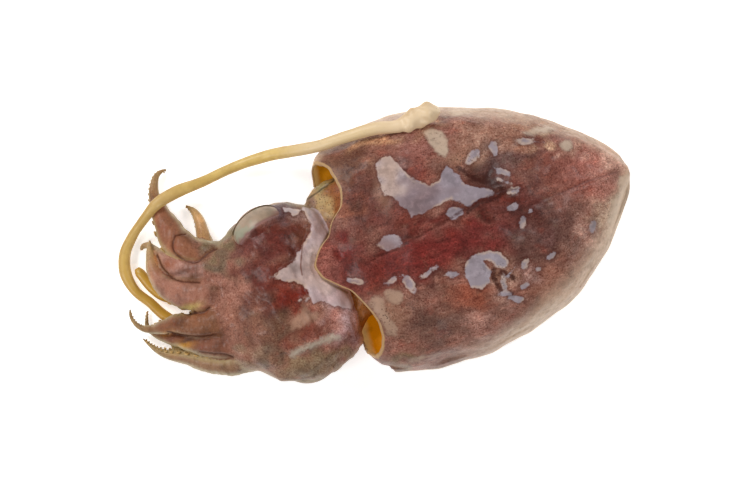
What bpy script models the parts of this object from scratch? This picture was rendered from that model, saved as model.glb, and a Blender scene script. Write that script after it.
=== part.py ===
"""A preserved cuttlefish at life size, lying on its belly with its back up.

Sizes are in millimetres, in the model's own frame: +X runs from the arms to the tail, +Y to the
animal's right side and +Z up, with the floor at Z 0. Meshes are made in metres.
Right and left are the animal's own. Its head points to -X, so its right side is +Y.
"""

import math

import bpy
import numpy as np

METRE = 0.001  # one millimetre in metres
GAP = 0.3  # clearance between pieces that touch
CROWDED = "MANIFOLD"  # the Boolean solver of the arms and tentacles, where many closed pieces meet
CENTRE = (0.4, -0.61)  # middle of the whole animal's box, taken off every point

# Mantle: stations along X, then the side outlines, the height of the back and of the widest line.
MANTLE_X = (-8.6, -5.6, -5.0, -4.2, -3.2, 0.0, 5.0, 10.0, 15.0, 20.0, 25.0, 30.0, 33.0, 35.0, 36.0)
MANTLE_RIGHT = (9.6, 10.4, 12.3, 13.5, 14.0, 14.5, 15.0, 14.8, 13.6, 12.0, 9.6, 6.0, 3.4, 1.2, -0.6)
MANTLE_LEFT = (
    -14.0, -14.4, -15.2, -16.3, -16.9, -17.9, -18.7, -18.7, -17.9, -16.5, -14.3, -10.1, -6.8, -4.3, -2.3,
)
MANTLE_TOP = (9.7, 10.4, 10.5, 10.7, 11.0, 11.8, 12.6, 12.9, 12.6, 11.6, 9.9, 7.5, 5.8, 4.4, 3.6)
MANTLE_SIDE = (4.8, 4.8, 4.8, 4.8, 4.9, 5.0, 5.1, 5.1, 5.0, 4.7, 4.2, 3.5, 3.0, 2.7, 2.5)
MANTLE_BELLY = (-0.3, -0.3, -0.3, -0.3, -0.4, -0.5, -0.6, -0.6, -0.6, -0.5, -0.4, 0.1, 0.6, 1.1, 1.5)
# The free front edge, by angle round the section: 0 is the right side, 90 the back, 270 the belly.
RIM_ANGLE = (
    0, 19, 34, 49, 58, 66, 72, 77, 83, 89, 94, 99, 105, 112, 123, 134, 145, 162, 170, 180, 225, 270, 315, 360,
)
RIM_X = (
    -5.2, -4.3, -3.0, -2.4, -2.6, -3.3, -4.6, -6.25, -7.7, -8.6, -8.5, -7.1, -5.4, -4.2, -3.1, -2.7, -2.9,
    -4.0, -4.6, -5.3, -5.8, -5.2, -5.7, -5.2,
)
RIM_WALL = 0.6  # thickness of the edge itself
MANTLE_WALL = 1.1  # and of the wall behind it
CAVITY_END = 5.0
BACK_POWER = 2.25  # superellipse power of the back, and of the flatter belly
BELLY_POWER = 3.0
MANTLE_BACK_SEGMENTS = 30
MANTLE_BELLY_SEGMENTS = 14
MANTLE_RINGS = 15
CAVITY_RINGS = 4

# Fins: a skirt along each side, folded down as it lies.
FIN_X = (-3.0, 0.0, 10.0, 20.0, 28.0, 33.0, 35.4)
FIN_SPREAD = (0.4, 0.6, 0.75, 0.75, 0.75, 0.7, 0.5)  # how far its edge stands out past the mantle
FIN_FALL = (1.2, 2.4, 3.4, 3.3, 2.4, 1.4, 0.7)  # how far it hangs below its root
FIN_ROOT_THICK = 1.0
FIN_EDGE_THICK = 0.55
FIN_RINGS = 24
FIN_STEPS = 4

# Head: stations along X, side outlines, and heights.
HEAD_X = (-23.7, -22.6, -20.5, -18.0, -15.5, -13.0, -10.5, -8.7, -7.2, -6.2, -5.5, -5.2)
HEAD_RIGHT = (4.2, 5.6, 6.8, 8.2, 9.1, 9.5, 9.2, 8.4, 7.4, 6.4, 5.2, 3.8)
HEAD_LEFT = (-9.8, -11.3, -12.3, -14.0, -15.1, -15.7, -15.2, -14.3, -13.5, -12.7, -11.6, -10.0)
HEAD_TOP = (6.6, 7.8, 9.2, 10.5, 11.2, 11.2, 10.0, 8.6, 8.2, 7.6, 6.6, 5.2)
HEAD_SIDE = (3.6, 3.9, 4.3, 4.6, 4.7, 4.7, 4.5, 4.3, 4.2, 4.2, 4.3, 4.4)
HEAD_BELLY = (1.4, 0.4, -0.3, -0.4, -0.4, -0.4, -0.3, 0.0, 0.7, 1.6, 2.7, 3.6)
HEAD_SEGMENTS = 30
HEAD_RINGS = 17

# Eyes: middle, half sizes along X, out to the side, and up, and turn about Z in degrees.
# opens is the height of the lids' opening round the eyeball, and half its reach, in degrees: 0 is sideways.
EYE_RIGHT = {"middle": (-14.5, 6.5, 6.1), "half": (3.8, 3.05, 3.5), "turn": 19.0, "opens": (64.0, 25.0)}
EYE_LEFT = {"middle": (-13.6, -12.6, 4.0), "half": (3.8, 3.2, 3.1), "turn": -8.0, "opens": (-12.0, 27.0)}
EYE_SEGMENTS = 18
EYE_RINGS = 10
LID_ROUND = 0.42  # radius of the fold of the lid
LID_LENGTH = 0.9  # length of the opening, as a share of the eye's own

# Neck and funnel, each with stations along X.
NECK_X = (-9.5, -7.4, -5.4, -3.5, 0.0, 4.7)
NECK_RIGHT = (6.2, 7.9, 9.5, 10.0, 10.2, 10.0)
NECK_LEFT = (-9.0, -10.6, -11.0, -9.6, -9.8, -10.0)
NECK_TOP = (5.0, 5.3, 6.2, 7.6, 9.2, 9.8)
NECK_SIDE = (3.8, 4.0, 4.2, 4.4, 4.6, 4.8)
NECK_BELLY = (1.6, 1.6, 1.6, 1.6, 1.6, 1.6)
NECK_SEGMENTS = 28
NECK_RINGS = 9
FUNNEL_X = (-16.6, -15.5, -13.0, -10.0, -7.5, -5.4)
FUNNEL_HALF = (1.35, 1.6, 2.1, 3.0, 4.0, 4.6)
FUNNEL_TOP = (2.7, 2.9, 3.2, 3.4, 3.3, 3.0)
FUNNEL_Y = -1.8
FUNNEL_WALL = 0.6
FUNNEL_BORE = 3.4
TUBE_SEGMENTS = 20

# Mouth: the ringed mound of the lips, in the middle of the arms.
MOUTH = {"middle": (-23.3, -2.0, 3.2), "half": (1.5, 1.5, 1.4)}

# Arms. Each row of a path is a point of the middle line, then the width there.
# oral is the side that carries the suckers.
ARMS = {
    "arm_right_1": {
        "oral": (-0.45, -0.75, -0.6),
        "path": (
            (-20.6, 0.3, 5.5, 4.3), (-24.5, 0.25, 5.7, 4.1), (-27.0, 1.35, 4.9, 3.6),
            (-28.9, 2.7, 4.0, 3.0), (-29.9, 4.5, 3.2, 2.2), (-30.1, 6.3, 2.7, 1.65),
            (-29.9, 7.8, 2.4, 1.15), (-29.5, 9.0, 2.2, 0.7), (-29.3, 9.8, 2.1, 0.25),
        ),
    },
    "arm_left_1": {
        "oral": (0.0, 0.8, -0.75),
        "path": (
            (-20.6, -3.8, 5.5, 4.2), (-24.6, -3.6, 5.6, 4.0), (-27.0, -3.1, 4.8, 3.5),
            (-29.2, -2.4, 3.9, 2.7), (-31.0, -2.1, 3.2, 2.0), (-32.8, -2.05, 2.5, 1.3),
            (-34.0, -1.5, 2.0, 0.9), (-34.7, -0.5, 1.7, 0.65), (-34.9, 0.6, 1.6, 0.45),
            (-34.75, 1.7, 1.6, 0.22),
        ),
    },
    "arm_right_2": {
        "oral": (-0.7, -0.6, -0.6),
        "path": (
            (-19.8, 3.2, 4.6, 3.6), (-24.3, 3.6, 4.4, 3.1), (-26.4, 4.35, 3.8, 2.9), (-27.8, 5.7, 3.1, 2.5),
            (-28.6, 7.2, 2.3, 1.9), (-29.2, 8.5, 1.15, 1.2), (-29.9, 9.2, 0.75, 0.9),
            (-30.6, 9.15, 0.65, 0.7), (-30.85, 8.65, 0.6, 0.3),
        ),
    },
    "arm_left_2": {
        "oral": (-0.3, -0.2, -1.0),
        "path": (
            (-20.0, -7.2, 4.8, 4.1), (-24.5, -6.9, 4.4, 3.8), (-27.0, -5.95, 3.6, 3.0),
            (-29.0, -4.9, 2.8, 2.3), (-31.0, -3.8, 1.8, 1.6), (-32.5, -2.8, 1.1, 1.1),
            (-33.25, -1.6, 0.8, 0.75), (-33.0, -0.4, 0.65, 0.5), (-32.5, 0.7, 0.6, 0.22),
        ),
    },
    "arm_right_3": {
        "oral": (-1.0, -0.25, -0.25),
        "path": (
            (-19.6, 4.2, 3.9, 3.2), (-22.6, 5.5, 3.8, 3.7), (-24.6, 7.1, 3.1, 4.0), (-26.1, 9.2, 2.5, 3.8),
            (-26.5, 11.0, 2.1, 3.2), (-26.75, 13.0, 1.7, 2.5), (-26.95, 15.0, 1.3, 1.8),
            (-26.5, 16.7, 1.05, 1.25), (-25.6, 17.85, 0.95, 0.8), (-24.9, 18.2, 0.95, 0.6),
            (-24.1, 18.1, 0.95, 0.25),
        ),
    },
    "arm_left_3": {
        "oral": (0.25, 0.85, 0.5),
        "path": (
            (-19.6, -9.9, 3.8, 3.6), (-23.5, -9.85, 3.1, 3.5), (-26.0, -8.9, 2.5, 3.1),
            (-28.5, -7.6, 1.95, 2.5), (-30.5, -6.5, 1.5, 1.8), (-32.2, -5.6, 1.1, 1.2),
            (-33.4, -4.5, 0.85, 0.75), (-34.4, -2.8, 0.75, 0.22),
        ),
    },
    "arm_right_4": {
        "oral": (-0.85, -0.1, -0.4),
        "path": (
            (-20.4, 3.0, 1.9, 2.2), (-21.7, 5.0, 1.45, 2.2), (-22.1, 7.2, 1.25, 2.1),
            (-22.05, 9.0, 1.15, 1.85), (-22.1, 10.5, 0.95, 1.4), (-22.4, 11.8, 0.75, 0.85),
            (-23.1, 12.9, 0.6, 0.22),
        ),
    },
    "arm_left_4": {
        "oral": (-0.1, 0.5, 0.9),
        "path": (
            (-20.6, -6.2, 2.0, 2.7), (-23.6, -6.6, 1.7, 2.5), (-26.0, -6.5, 1.35, 2.1),
            (-28.3, -6.0, 1.1, 1.8), (-30.0, -5.4, 0.9, 1.4), (-31.3, -4.4, 0.75, 0.3),
        ),
    },
}
ARM_SEGMENTS = 10
LIMB_LOWEST = 0.15  # height of the lowest flat of an arm or tentacle
ARM_RING_STEP = 1.15  # length of arm for each ring, shorter where it is thin
ARM_DEPTH = 0.95  # depth of the section as a share of its width
ORAL_SHARE = 0.42  # share of the depth on the flatter sucker side

SUCKER_SIDES = 6
SUCKER_START = 4.6  # length of bare arm at the root
SUCKER_RADIUS = 0.135  # share of the arm's width
SUCKER_STAND = 0.3  # how far the largest one stands out
SUCKER_OFFSET = 0.25  # of each row from the middle, as a share of the width
SUCKER_LEAST = 0.19  # least radius, near the tip
SUCKER_LARGE = 0.4  # radius of one that stands out in full
SUCKER_SPACING = 2.2  # from each to the next along the arm, in radii
SUCKER_ROOT = 0.3  # how far its root is sunk in the arm, with half a radius more
CLUB_SUCKERS = {"start": 1.0, "radius": 0.11}

# Tentacles. The long one comes out under the arms, lies round them and up on to the mantle.
LONG_TENTACLE = (
    (-22.0, -4.3, 2.3, 1.3), (-25.5, -4.0, 1.9, 1.4), (-27.8, -3.1, 1.5, 1.5), (-29.2, -2.2, 1.25, 1.5),
    (-30.7, -0.6, 1.0, 1.5), (-31.9, 1.5, 0.95, 1.6), (-33.2, 3.9, 0.95, 1.7), (-33.8, 6.3, 0.95, 1.75),
    (-33.3, 8.8, 1.0, 1.65), (-31.6, 10.9, 1.3, 1.5), (-29.4, 12.8, 2.3, 1.4), (-27.0, 14.1, 3.3, 1.5),
    (-24.2, 14.8, 2.9, 1.55), (-20.0, 15.2, 2.1, 1.35), (-15.0, 15.6, 1.8, 1.2), (-10.0, 15.7, 2.6, 1.2),
    (-6.5, 15.5, 4.3, 1.3), (-3.4, 15.2, 6.0, 1.35), (1.0, 15.0, 7.6, 1.4), (5.0, 14.9, 8.5, 1.45),
    (8.2, 14.7, 8.8, 1.55), (9.7, 14.8, 8.8, 2.1), (11.4, 15.0, 8.5, 2.5), (13.2, 15.0, 8.1, 2.1),
    (14.2, 14.9, 7.8, 1.0),
)
LONG_TENTACLE_CUTS = (0.17, 0.36, 0.56, 0.8, 0.895)  # where it parts, by share of its length
LONG_TENTACLE_NODES = (
    "tentacle_left_root", "tentacle_left_bend", "tentacle_left_rise", "tentacle_left_reach",
    "tentacle_left_shoulder", "tentacle_left_club",
)
SHORT_TENTACLE = (
    (-22.0, 1.2, 2.3, 1.3), (-25.5, 0.9, 1.9, 1.3), (-28.2, 0.8, 1.4, 1.3), (-30.0, 1.9, 1.1, 1.4),
    (-31.0, 3.3, 1.0, 1.5), (-31.7, 5.0, 0.95, 1.5), (-32.1, 6.2, 0.9, 1.2), (-32.2, 6.6, 0.9, 0.7),
)
SHORT_TENTACLE_CUTS = (0.62,)
SHORT_TENTACLE_NODES = ("tentacle_right_stalk", "tentacle_right_club")
TENTACLE_SEGMENTS = 10
TENTACLE_RING_STEP = 1.4
TENTACLE_DEPTH = 0.85
CLUB_ORAL = (-0.1, 0.8, 0.6)
STALK_ORAL = (-0.6, 0.2, -0.8)

COLOURS = {  # base colour and roughness
    "mantle": ((0.30, 0.13, 0.11), 0.35),
    "fin": ((0.42, 0.31, 0.24), 0.35),
    "head": ((0.33, 0.15, 0.12), 0.35),
    "neck": ((0.33, 0.25, 0.12), 0.4),
    "arm": ((0.38, 0.20, 0.15), 0.35),
    "tentacle": ((0.62, 0.46, 0.25), 0.35),
    "eye": ((0.50, 0.47, 0.38), 0.15),
    "mouth": ((0.50, 0.36, 0.26), 0.4),
}


def through(stations, values, at):
    """A smooth curve through the values: cubic Hermite pieces whose slopes never overshoot."""
    stations = np.asarray(stations, float)
    values = np.asarray(values, float)
    at = np.clip(np.asarray(at, float), stations[0], stations[-1])
    step = np.diff(stations)
    rise = np.diff(values) / step
    slope = np.empty(len(values))
    slope[0], slope[-1] = rise[0], rise[-1]
    before, after = rise[:-1], rise[1:]
    mean = 2 * before * after / np.where(before + after == 0, 1, before + after)
    slope[1:-1] = np.where(before * after > 0, mean, 0)
    i = np.clip(np.searchsorted(stations, at, side="right") - 1, 0, len(step) - 1)
    t = (at - stations[i]) / step[i]
    return (
        values[i] * (1 + 2 * t) * (1 - t) ** 2
        + values[i + 1] * t * t * (3 - 2 * t)
        + step[i] * t * (1 - t) * (slope[i] * (1 - t) - slope[i + 1] * t)
    )


def shaped(angle, power):
    """Across and up shares of a superellipse at each angle in radians."""
    across, up = np.cos(angle), np.sin(angle)
    return (
        np.sign(across) * np.abs(across) ** (2 / power),
        np.sign(up) * np.abs(up) ** (2 / power),
    )


def body_rings(x, angle, sizes, inset=0.0):
    """Points of a body section at each x and angle: a rounded back over a flatter belly at Z 0."""
    keys = ("right", "left", "top", "side", "belly")
    right, left, top, side, belly = (through(sizes["x"], sizes[key], x) for key in keys)
    across, up = shaped(angle, BACK_POWER)
    across_low, up_low = shaped(angle, BELLY_POWER)
    low = up < 0
    across = np.where(low, across_low, across)
    y = (right + left) / 2 + ((right - left) / 2 - inset) * across
    above = side + (top - inset - side) * up
    z = np.where(low, side + (side - np.maximum(belly, 0) - inset) * up_low, above)
    floor = np.where(low, side + (side - belly) * up_low, z)
    z = np.where((inset == 0) & low, np.maximum(floor, 0), z)
    return np.stack([np.broadcast_to(x, y.shape), y, z], axis=-1)


def loft(rings, end_start=True, end_end=True):
    """Vertices and faces of a tube through the rings, (count, around, 3), with a fan over each end."""
    count, around = rings.shape[:2]
    points = rings.reshape(-1, 3).tolist()
    faces = []
    for k in range(count - 1):
        for j in range(around):
            a, b = k * around + j, k * around + (j + 1) % around
            faces.append((a, b, b + around, a + around))
    if end_start:
        points.append(rings[0].mean(axis=0).tolist())
        faces += [((j + 1) % around, j, len(points) - 1) for j in range(around)]
    if end_end:
        last = (count - 1) * around
        points.append(rings[-1].mean(axis=0).tolist())
        faces += [(last + j, last + (j + 1) % around, len(points) - 1) for j in range(around)]
    return points, faces


def add_object(name, points, faces, material=None):
    """A mesh object from points in millimetres, with its faces turned outwards."""
    mesh = bpy.data.meshes.new(name)
    shift = np.array([CENTRE[0], CENTRE[1], 0.0])
    mesh.from_pydata(((np.asarray(points) - shift) * METRE).tolist(), [], faces)
    mesh.update()
    mesh.shade_smooth()
    if signed_volume(mesh) < 0:
        mesh.flip_normals()
    made = bpy.data.objects.new(name, mesh)
    bpy.context.scene.collection.objects.link(made)
    if material:
        mesh.materials.append(material_named(material))
    return made


def signed_volume(mesh):
    """The volume inside the faces, negative where they point inwards."""
    mesh.calc_loop_triangles()
    corners = np.array([[mesh.vertices[v].co for v in t.vertices] for t in mesh.loop_triangles])
    return float(np.einsum("ij,ij->i", corners[:, 0], np.cross(corners[:, 1], corners[:, 2])).sum() / 6)


def material_named(name):
    """The finish of one kind of piece."""
    found = bpy.data.materials.get(name)
    if found:
        return found
    colour, roughness = COLOURS[name]
    made = bpy.data.materials.new(name)
    made.use_nodes = True
    shader = made.node_tree.nodes["Principled BSDF"]
    shader.inputs["Base Color"].default_value = (*colour, 1.0)
    shader.inputs["Roughness"].default_value = roughness
    shader.inputs["Metallic"].default_value = 0.0
    return made


def largest_body(target):
    """Leaves only the closed surface that holds the most."""
    mesh = target.data
    mesh.calc_loop_triangles()
    owner = list(range(len(mesh.vertices)))

    def root(v):
        while owner[v] != v:
            owner[v] = owner[owner[v]]
            v = owner[v]
        return v

    for edge in mesh.edges:
        a, b = root(edge.vertices[0]), root(edge.vertices[1])
        owner[a] = b
    held = {}
    for triangle in mesh.loop_triangles:
        a, b, c = (np.array(mesh.vertices[v].co) for v in triangle.vertices)
        body = root(triangle.vertices[0])
        held[body] = held.get(body, 0.0) + float(a @ np.cross(b, c))
    if len(held) < 2:
        return
    keep = max(held, key=held.get)
    kept = [v for v in range(len(mesh.vertices)) if root(v) == keep]
    place = {v: i for i, v in enumerate(kept)}
    points = [tuple(mesh.vertices[v].co) for v in kept]
    faces = [tuple(place[v] for v in face.vertices) for face in mesh.polygons if face.vertices[0] in place]
    materials = list(mesh.materials)
    new = bpy.data.meshes.new(target.name)
    new.from_pydata(points, [], faces)
    for material in materials:
        new.materials.append(material)
    new.shade_smooth()
    target.data = new


def apply_boolean(target, operation, others, solver="EXACT"):
    """Joins the others to the target, or cuts them from it, applies that, and removes them."""
    held = bpy.data.collections.new(f"{target.name}_{operation.lower()}")
    bpy.context.scene.collection.children.link(held)
    for other in others:
        for owner in list(other.users_collection):
            owner.objects.unlink(other)
        held.objects.link(other)
    modifier = target.modifiers.new(operation.title(), "BOOLEAN")
    modifier.operation = operation
    modifier.solver = solver
    modifier.operand_type = "COLLECTION"
    modifier.collection = held
    bpy.context.view_layer.update()
    evaluated = target.evaluated_get(bpy.context.evaluated_depsgraph_get())
    mesh = bpy.data.meshes.new_from_object(evaluated)
    target.modifiers.clear()
    target.data = mesh
    for other in list(held.objects):
        bpy.data.objects.remove(other)
    bpy.data.collections.remove(held)


def mantle_sizes():
    return {
        "x": MANTLE_X, "right": MANTLE_RIGHT, "left": MANTLE_LEFT,
        "top": MANTLE_TOP, "side": MANTLE_SIDE, "belly": MANTLE_BELLY,
    }


def head_sizes(grow=0.0):
    """The head's sizes, grown on every side where the head cuts a piece that it carries."""
    x = np.array(HEAD_X)
    middle = (x[0] + x[-1]) / 2
    return {
        "x": middle + (x - middle) * (1 + 2 * grow / (x[-1] - x[0])),
        "right": np.array(HEAD_RIGHT) + grow,
        "left": np.array(HEAD_LEFT) - grow,
        "top": np.array(HEAD_TOP) + grow,
        "side": np.array(HEAD_SIDE),
        "belly": np.array(HEAD_BELLY) - grow,
    }


def build_mantle():
    """A sack that is open in front: outer rings from rim to tail, inner ones from rim to the cavity's end."""
    back = np.linspace(0, math.pi, MANTLE_BACK_SEGMENTS, endpoint=False)
    belly = np.linspace(math.pi, 2 * math.pi, MANTLE_BELLY_SEGMENTS, endpoint=False)
    angle = np.concatenate([back, belly])
    rim = through(RIM_ANGLE, RIM_X, np.degrees(angle))
    sizes = mantle_sizes()
    along = np.sin(np.linspace(0, 1, MANTLE_RINGS) ** 1.15 * math.pi / 2)
    outer = [body_rings(rim + (MANTLE_X[-1] - rim) * share, angle, sizes) for share in along]
    inner = []
    for share in np.linspace(0, 1, CAVITY_RINGS):
        wall = RIM_WALL + (MANTLE_WALL - RIM_WALL) * min(1.0, share * CAVITY_RINGS)
        inner.append(body_rings(rim + (CAVITY_END - rim) * share, angle, sizes, inset=wall))
    rings = np.array(inner[::-1] + outer)
    return add_object("mantle", *loft(rings), material="mantle")


def mantle_space(grow=GAP):
    """The outside of the mantle, closed in front and grown by a clearance, to cut what lies on it."""
    sizes = mantle_sizes()
    sizes["right"] = np.array(sizes["right"]) + grow
    sizes["left"] = np.array(sizes["left"]) - grow
    sizes["top"] = np.array(sizes["top"]) + grow
    angle = np.linspace(0, 2 * math.pi, 40, endpoint=False)
    x = np.linspace(-5.0, MANTLE_X[-1], 22)
    rings = np.array([body_rings(np.full_like(angle, value), angle, sizes) for value in x])
    return add_object("mantle_space", *loft(rings))


def build_fin(side):
    """A curved skirt along one side of the mantle: +1 is the right fin and -1 the left."""
    x = np.linspace(FIN_X[0], FIN_X[-1], FIN_RINGS)
    edge = through(MANTLE_X, MANTLE_RIGHT if side > 0 else MANTLE_LEFT, x)
    root_z = through(MANTLE_X, MANTLE_SIDE, x)
    spread = through(FIN_X, FIN_SPREAD, x)
    fall = through(FIN_X, FIN_FALL, x)
    slope = np.gradient(edge, x)
    out_x, out_y = -slope * side, np.ones_like(slope)
    length = np.hypot(out_x, out_y)
    out = np.stack([out_x / length, side * out_y / length, np.zeros_like(slope)], axis=1)
    turn = np.linspace(0, math.pi / 2, FIN_STEPS + 1)
    thick = np.linspace(FIN_ROOT_THICK, FIN_EDGE_THICK, FIN_STEPS + 1) / 2
    rings = []
    for k in range(FIN_RINGS):
        base = np.array([x[k], edge[k], root_z[k]]) + out[k] * GAP
        taper = min(1.0, 0.45 + min(k, FIN_RINGS - 1 - k) * 0.3)
        above, below = [], []
        for step in range(FIN_STEPS + 1):
            flat = math.sin(turn[step]) * (spread[k] - thick[-1])
            down = (1 - math.cos(turn[step])) * fall[k]
            slant = np.array([math.cos(turn[step]) * spread[k], -math.sin(turn[step]) * fall[k]])
            slant = slant / np.hypot(*slant)
            upright = out[k] * -slant[1] + np.array([0.0, 0.0, slant[0]])
            point = base + out[k] * flat - np.array([0.0, 0.0, down])
            above.append(point + upright * thick[step] * taper)
            below.append(point - upright * thick[step] * taper)
        rings.append(above + below[::-1])
    name = "fin_right" if side > 0 else "fin_left"
    points, faces = strip(np.array(rings))
    return add_object(name, points, faces, material="fin")


def strip(rings):
    """A closed band: both faces are split along the same diagonals, and each end is a flat fan of pairs."""
    count, around = rings.shape[:2]
    half = around // 2
    points = rings.reshape(-1, 3).tolist()
    faces = []
    for k in range(count - 1):
        for j in range(around):
            a, b = k * around + j, k * around + (j + 1) % around
            c, d = b + around, a + around
            if j < half:
                faces += [(a, b, c), (a, c, d)]
            else:
                faces += [(a, b, d), (b, c, d)]
    for k, turned in ((0, True), (count - 1, False)):
        for j in range(half - 1):
            quad = [k * around + i for i in (j, j + 1, around - 2 - j, around - 1 - j)]
            faces.append(tuple(reversed(quad)) if turned else tuple(quad))
    return points, faces


def head_object(name, grow=0.0):
    """The head's loft, or a copy grown by a clearance to cut its neighbours with."""
    sizes = head_sizes(grow)
    share = np.linspace(0, 1, HEAD_RINGS)
    ease = (1 - np.cos(share * math.pi)) / 2
    x = sizes["x"][0] + (sizes["x"][-1] - sizes["x"][0]) * (0.55 * share + 0.45 * ease)
    angle = np.linspace(0, 2 * math.pi, HEAD_SEGMENTS, endpoint=False)
    rings = np.array([body_rings(np.full_like(angle, value), angle, sizes) for value in x])
    return add_object(name, *loft(rings), material="head")


def ellipsoid(name, eye, grow=0.0, material=None):
    """An eyeball, or a grown copy that cuts its socket."""
    half = np.array(eye["half"]) + grow
    turn = math.radians(eye["turn"])
    polar = np.linspace(0, math.pi, EYE_RINGS + 1)[1:-1]
    angle = np.linspace(0, 2 * math.pi, EYE_SEGMENTS, endpoint=False)
    rings = np.array([
        np.stack([
            np.full_like(angle, -math.cos(p)) * half[0],
            math.sin(p) * np.cos(angle) * half[1],
            math.sin(p) * np.sin(angle) * half[2],
        ], axis=1)
        for p in polar
    ])
    spun = np.stack([
        rings[..., 0] * math.cos(turn) - rings[..., 1] * math.sin(turn),
        rings[..., 0] * math.sin(turn) + rings[..., 1] * math.cos(turn),
        rings[..., 2],
    ], axis=-1)
    return add_object(name, *loft(spun + np.array(eye["middle"])), material=material)


def lid_object(name, eye, side):
    """The fold of the lid: a ring of round section that follows the eyeball round its opening."""
    half = np.array(eye["half"])
    turn = math.radians(eye["turn"])
    angle = np.linspace(0, 2 * math.pi, 26, endpoint=False)
    along = LID_LENGTH * np.cos(angle)
    lift = np.radians(eye["opens"][0] + eye["opens"][1] * np.sin(angle))
    out = np.sqrt(1 - along**2)
    local = np.stack([along, side * out * np.cos(lift), out * np.sin(lift)], axis=1) * half
    centre = np.stack([
        local[:, 0] * math.cos(turn) - local[:, 1] * math.sin(turn),
        local[:, 0] * math.sin(turn) + local[:, 1] * math.cos(turn),
        local[:, 2],
    ], axis=1) + np.array(eye["middle"])
    ahead = np.roll(centre, -1, axis=0) - np.roll(centre, 1, axis=0)
    ahead /= np.linalg.norm(ahead, axis=1)[:, None]
    outward = centre - np.array(eye["middle"])
    outward -= ahead * np.einsum("ij,ij->i", outward, ahead)[:, None]
    outward /= np.linalg.norm(outward, axis=1)[:, None]
    across = np.cross(ahead, outward)
    sides = np.linspace(0, 2 * math.pi, 6, endpoint=False)
    rings = centre[:, None] + LID_ROUND * (
        np.cos(sides)[None, :, None] * outward[:, None] + np.sin(sides)[None, :, None] * across[:, None]
    )
    count, around = rings.shape[:2]
    faces = []
    for k in range(count):
        for j in range(around):
            a, b = k * around + j, k * around + (j + 1) % around
            c, d = (k + 1) % count * around + (j + 1) % around, (k + 1) % count * around + j
            faces.append((a, b, c, d))
    return add_object(name, rings.reshape(-1, 3).tolist(), faces)


def build_neck():
    """The neck and the funnel's collar: one body from inside the mantle to under the back of the head."""
    angle = np.linspace(0, 2 * math.pi, NECK_SEGMENTS, endpoint=False)
    x = np.linspace(NECK_X[0], NECK_X[-1], NECK_RINGS)
    rings = np.array([body_rings(np.full_like(angle, value), angle, neck_sizes()) for value in x])
    return add_object("neck", *loft(rings), material="neck")


def neck_sizes():
    return {
        "x": NECK_X, "right": NECK_RIGHT, "left": NECK_LEFT,
        "top": NECK_TOP, "side": NECK_SIDE, "belly": NECK_BELLY,
    }


def funnel_object(name, grow=0.0):
    """The funnel under the head: a flattened cone whose narrow front end is open."""
    angle = np.linspace(0, 2 * math.pi, TUBE_SEGMENTS, endpoint=False)
    x = np.linspace(FUNNEL_X[0] - grow, FUNNEL_X[-1] + grow, 9)
    half = through(FUNNEL_X, FUNNEL_HALF, x) + grow
    top = through(FUNNEL_X, FUNNEL_TOP, x) + grow
    bottom = 0.12 - grow
    outer = [oval(x[k], half[k], top[k], bottom, angle) for k in range(len(x))]
    if grow:
        return add_object(name, *loft(np.array(outer)))
    deep = np.linspace(FUNNEL_X[0] + FUNNEL_BORE, FUNNEL_X[0], 4)
    bore_half = through(FUNNEL_X, FUNNEL_HALF, deep) - FUNNEL_WALL
    bore_top = through(FUNNEL_X, FUNNEL_TOP, deep) - FUNNEL_WALL
    inner = [oval(deep[k], bore_half[k], bore_top[k], bottom + FUNNEL_WALL, angle) for k in range(len(deep))]
    return add_object(name, *loft(np.array(inner + outer)), material="neck")


def oval(x, half, top, bottom, angle):
    """One ring of the funnel."""
    return np.stack([
        np.full_like(angle, x),
        FUNNEL_Y + half * np.cos(angle),
        (top + bottom) / 2 + (top - bottom) / 2 * np.sin(angle),
    ], axis=1)


def build_mouth():
    """The lips: a mound ringed by two folds, with the cleft of the beak across its top."""
    middle, half = np.array(MOUTH["middle"]), np.array(MOUTH["half"])
    angle = np.linspace(0, 2 * math.pi, TUBE_SEGMENTS, endpoint=False)
    profile = (
        (2.2, 0.9), (0.0, 1.0), (-0.55, 0.95), (-0.75, 0.72),
        (-0.6, 0.62), (-0.9, 0.5), (-1.0, 0.3), (-0.7, 0.16),
    )
    rings = np.array([
        np.stack([
            np.full_like(angle, middle[0] + forward * half[0]),
            middle[1] + reach * half[1] * np.cos(angle),
            middle[2] + reach * half[2] * np.sin(angle),
        ], axis=1)
        for forward, reach in profile
    ])
    return add_object("mouth", *loft(rings), material="mouth")


def sampled(path, step, start=0.0, end=1.0):
    """Points and widths along a smooth line through a path, one a step, closer together where it is thin."""
    path = np.array(path, float)
    chord = np.concatenate([[0], np.cumsum(np.linalg.norm(np.diff(path[:, :3], axis=0), axis=1))])
    slope = np.gradient(path, chord, axis=0)
    fine = np.linspace(chord[0], chord[-1], 400)
    i = np.clip(np.searchsorted(chord, fine, side="right") - 1, 0, len(chord) - 2)
    span = (chord[i + 1] - chord[i])[:, None]
    t = (fine[:, None] - chord[i][:, None]) / span
    line = (
        path[i] * (1 + 2 * t) * (1 - t) ** 2
        + path[i + 1] * t * t * (3 - 2 * t)
        + span * t * (1 - t) * (slope[i] * (1 - t) - slope[i + 1] * t)
    )
    run = np.concatenate([[0], np.cumsum(np.linalg.norm(np.diff(line[:, :3], axis=0), axis=1))])
    low, high = start * run[-1], end * run[-1]
    density = 1 / np.clip(line[:, 3] * 0.42, 0.45, 1.0)
    weight = np.concatenate([[0], np.cumsum((density[1:] + density[:-1]) / 2 * np.diff(run))])
    first, last = np.interp(low, run, weight), np.interp(high, run, weight)
    count = max(4, int(round((last - first) / step)) + 1)
    at = np.interp(np.linspace(first, last, count), weight, run)
    return np.array([np.interp(at, run, line[:, c]) for c in range(4)]).T, at


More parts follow.
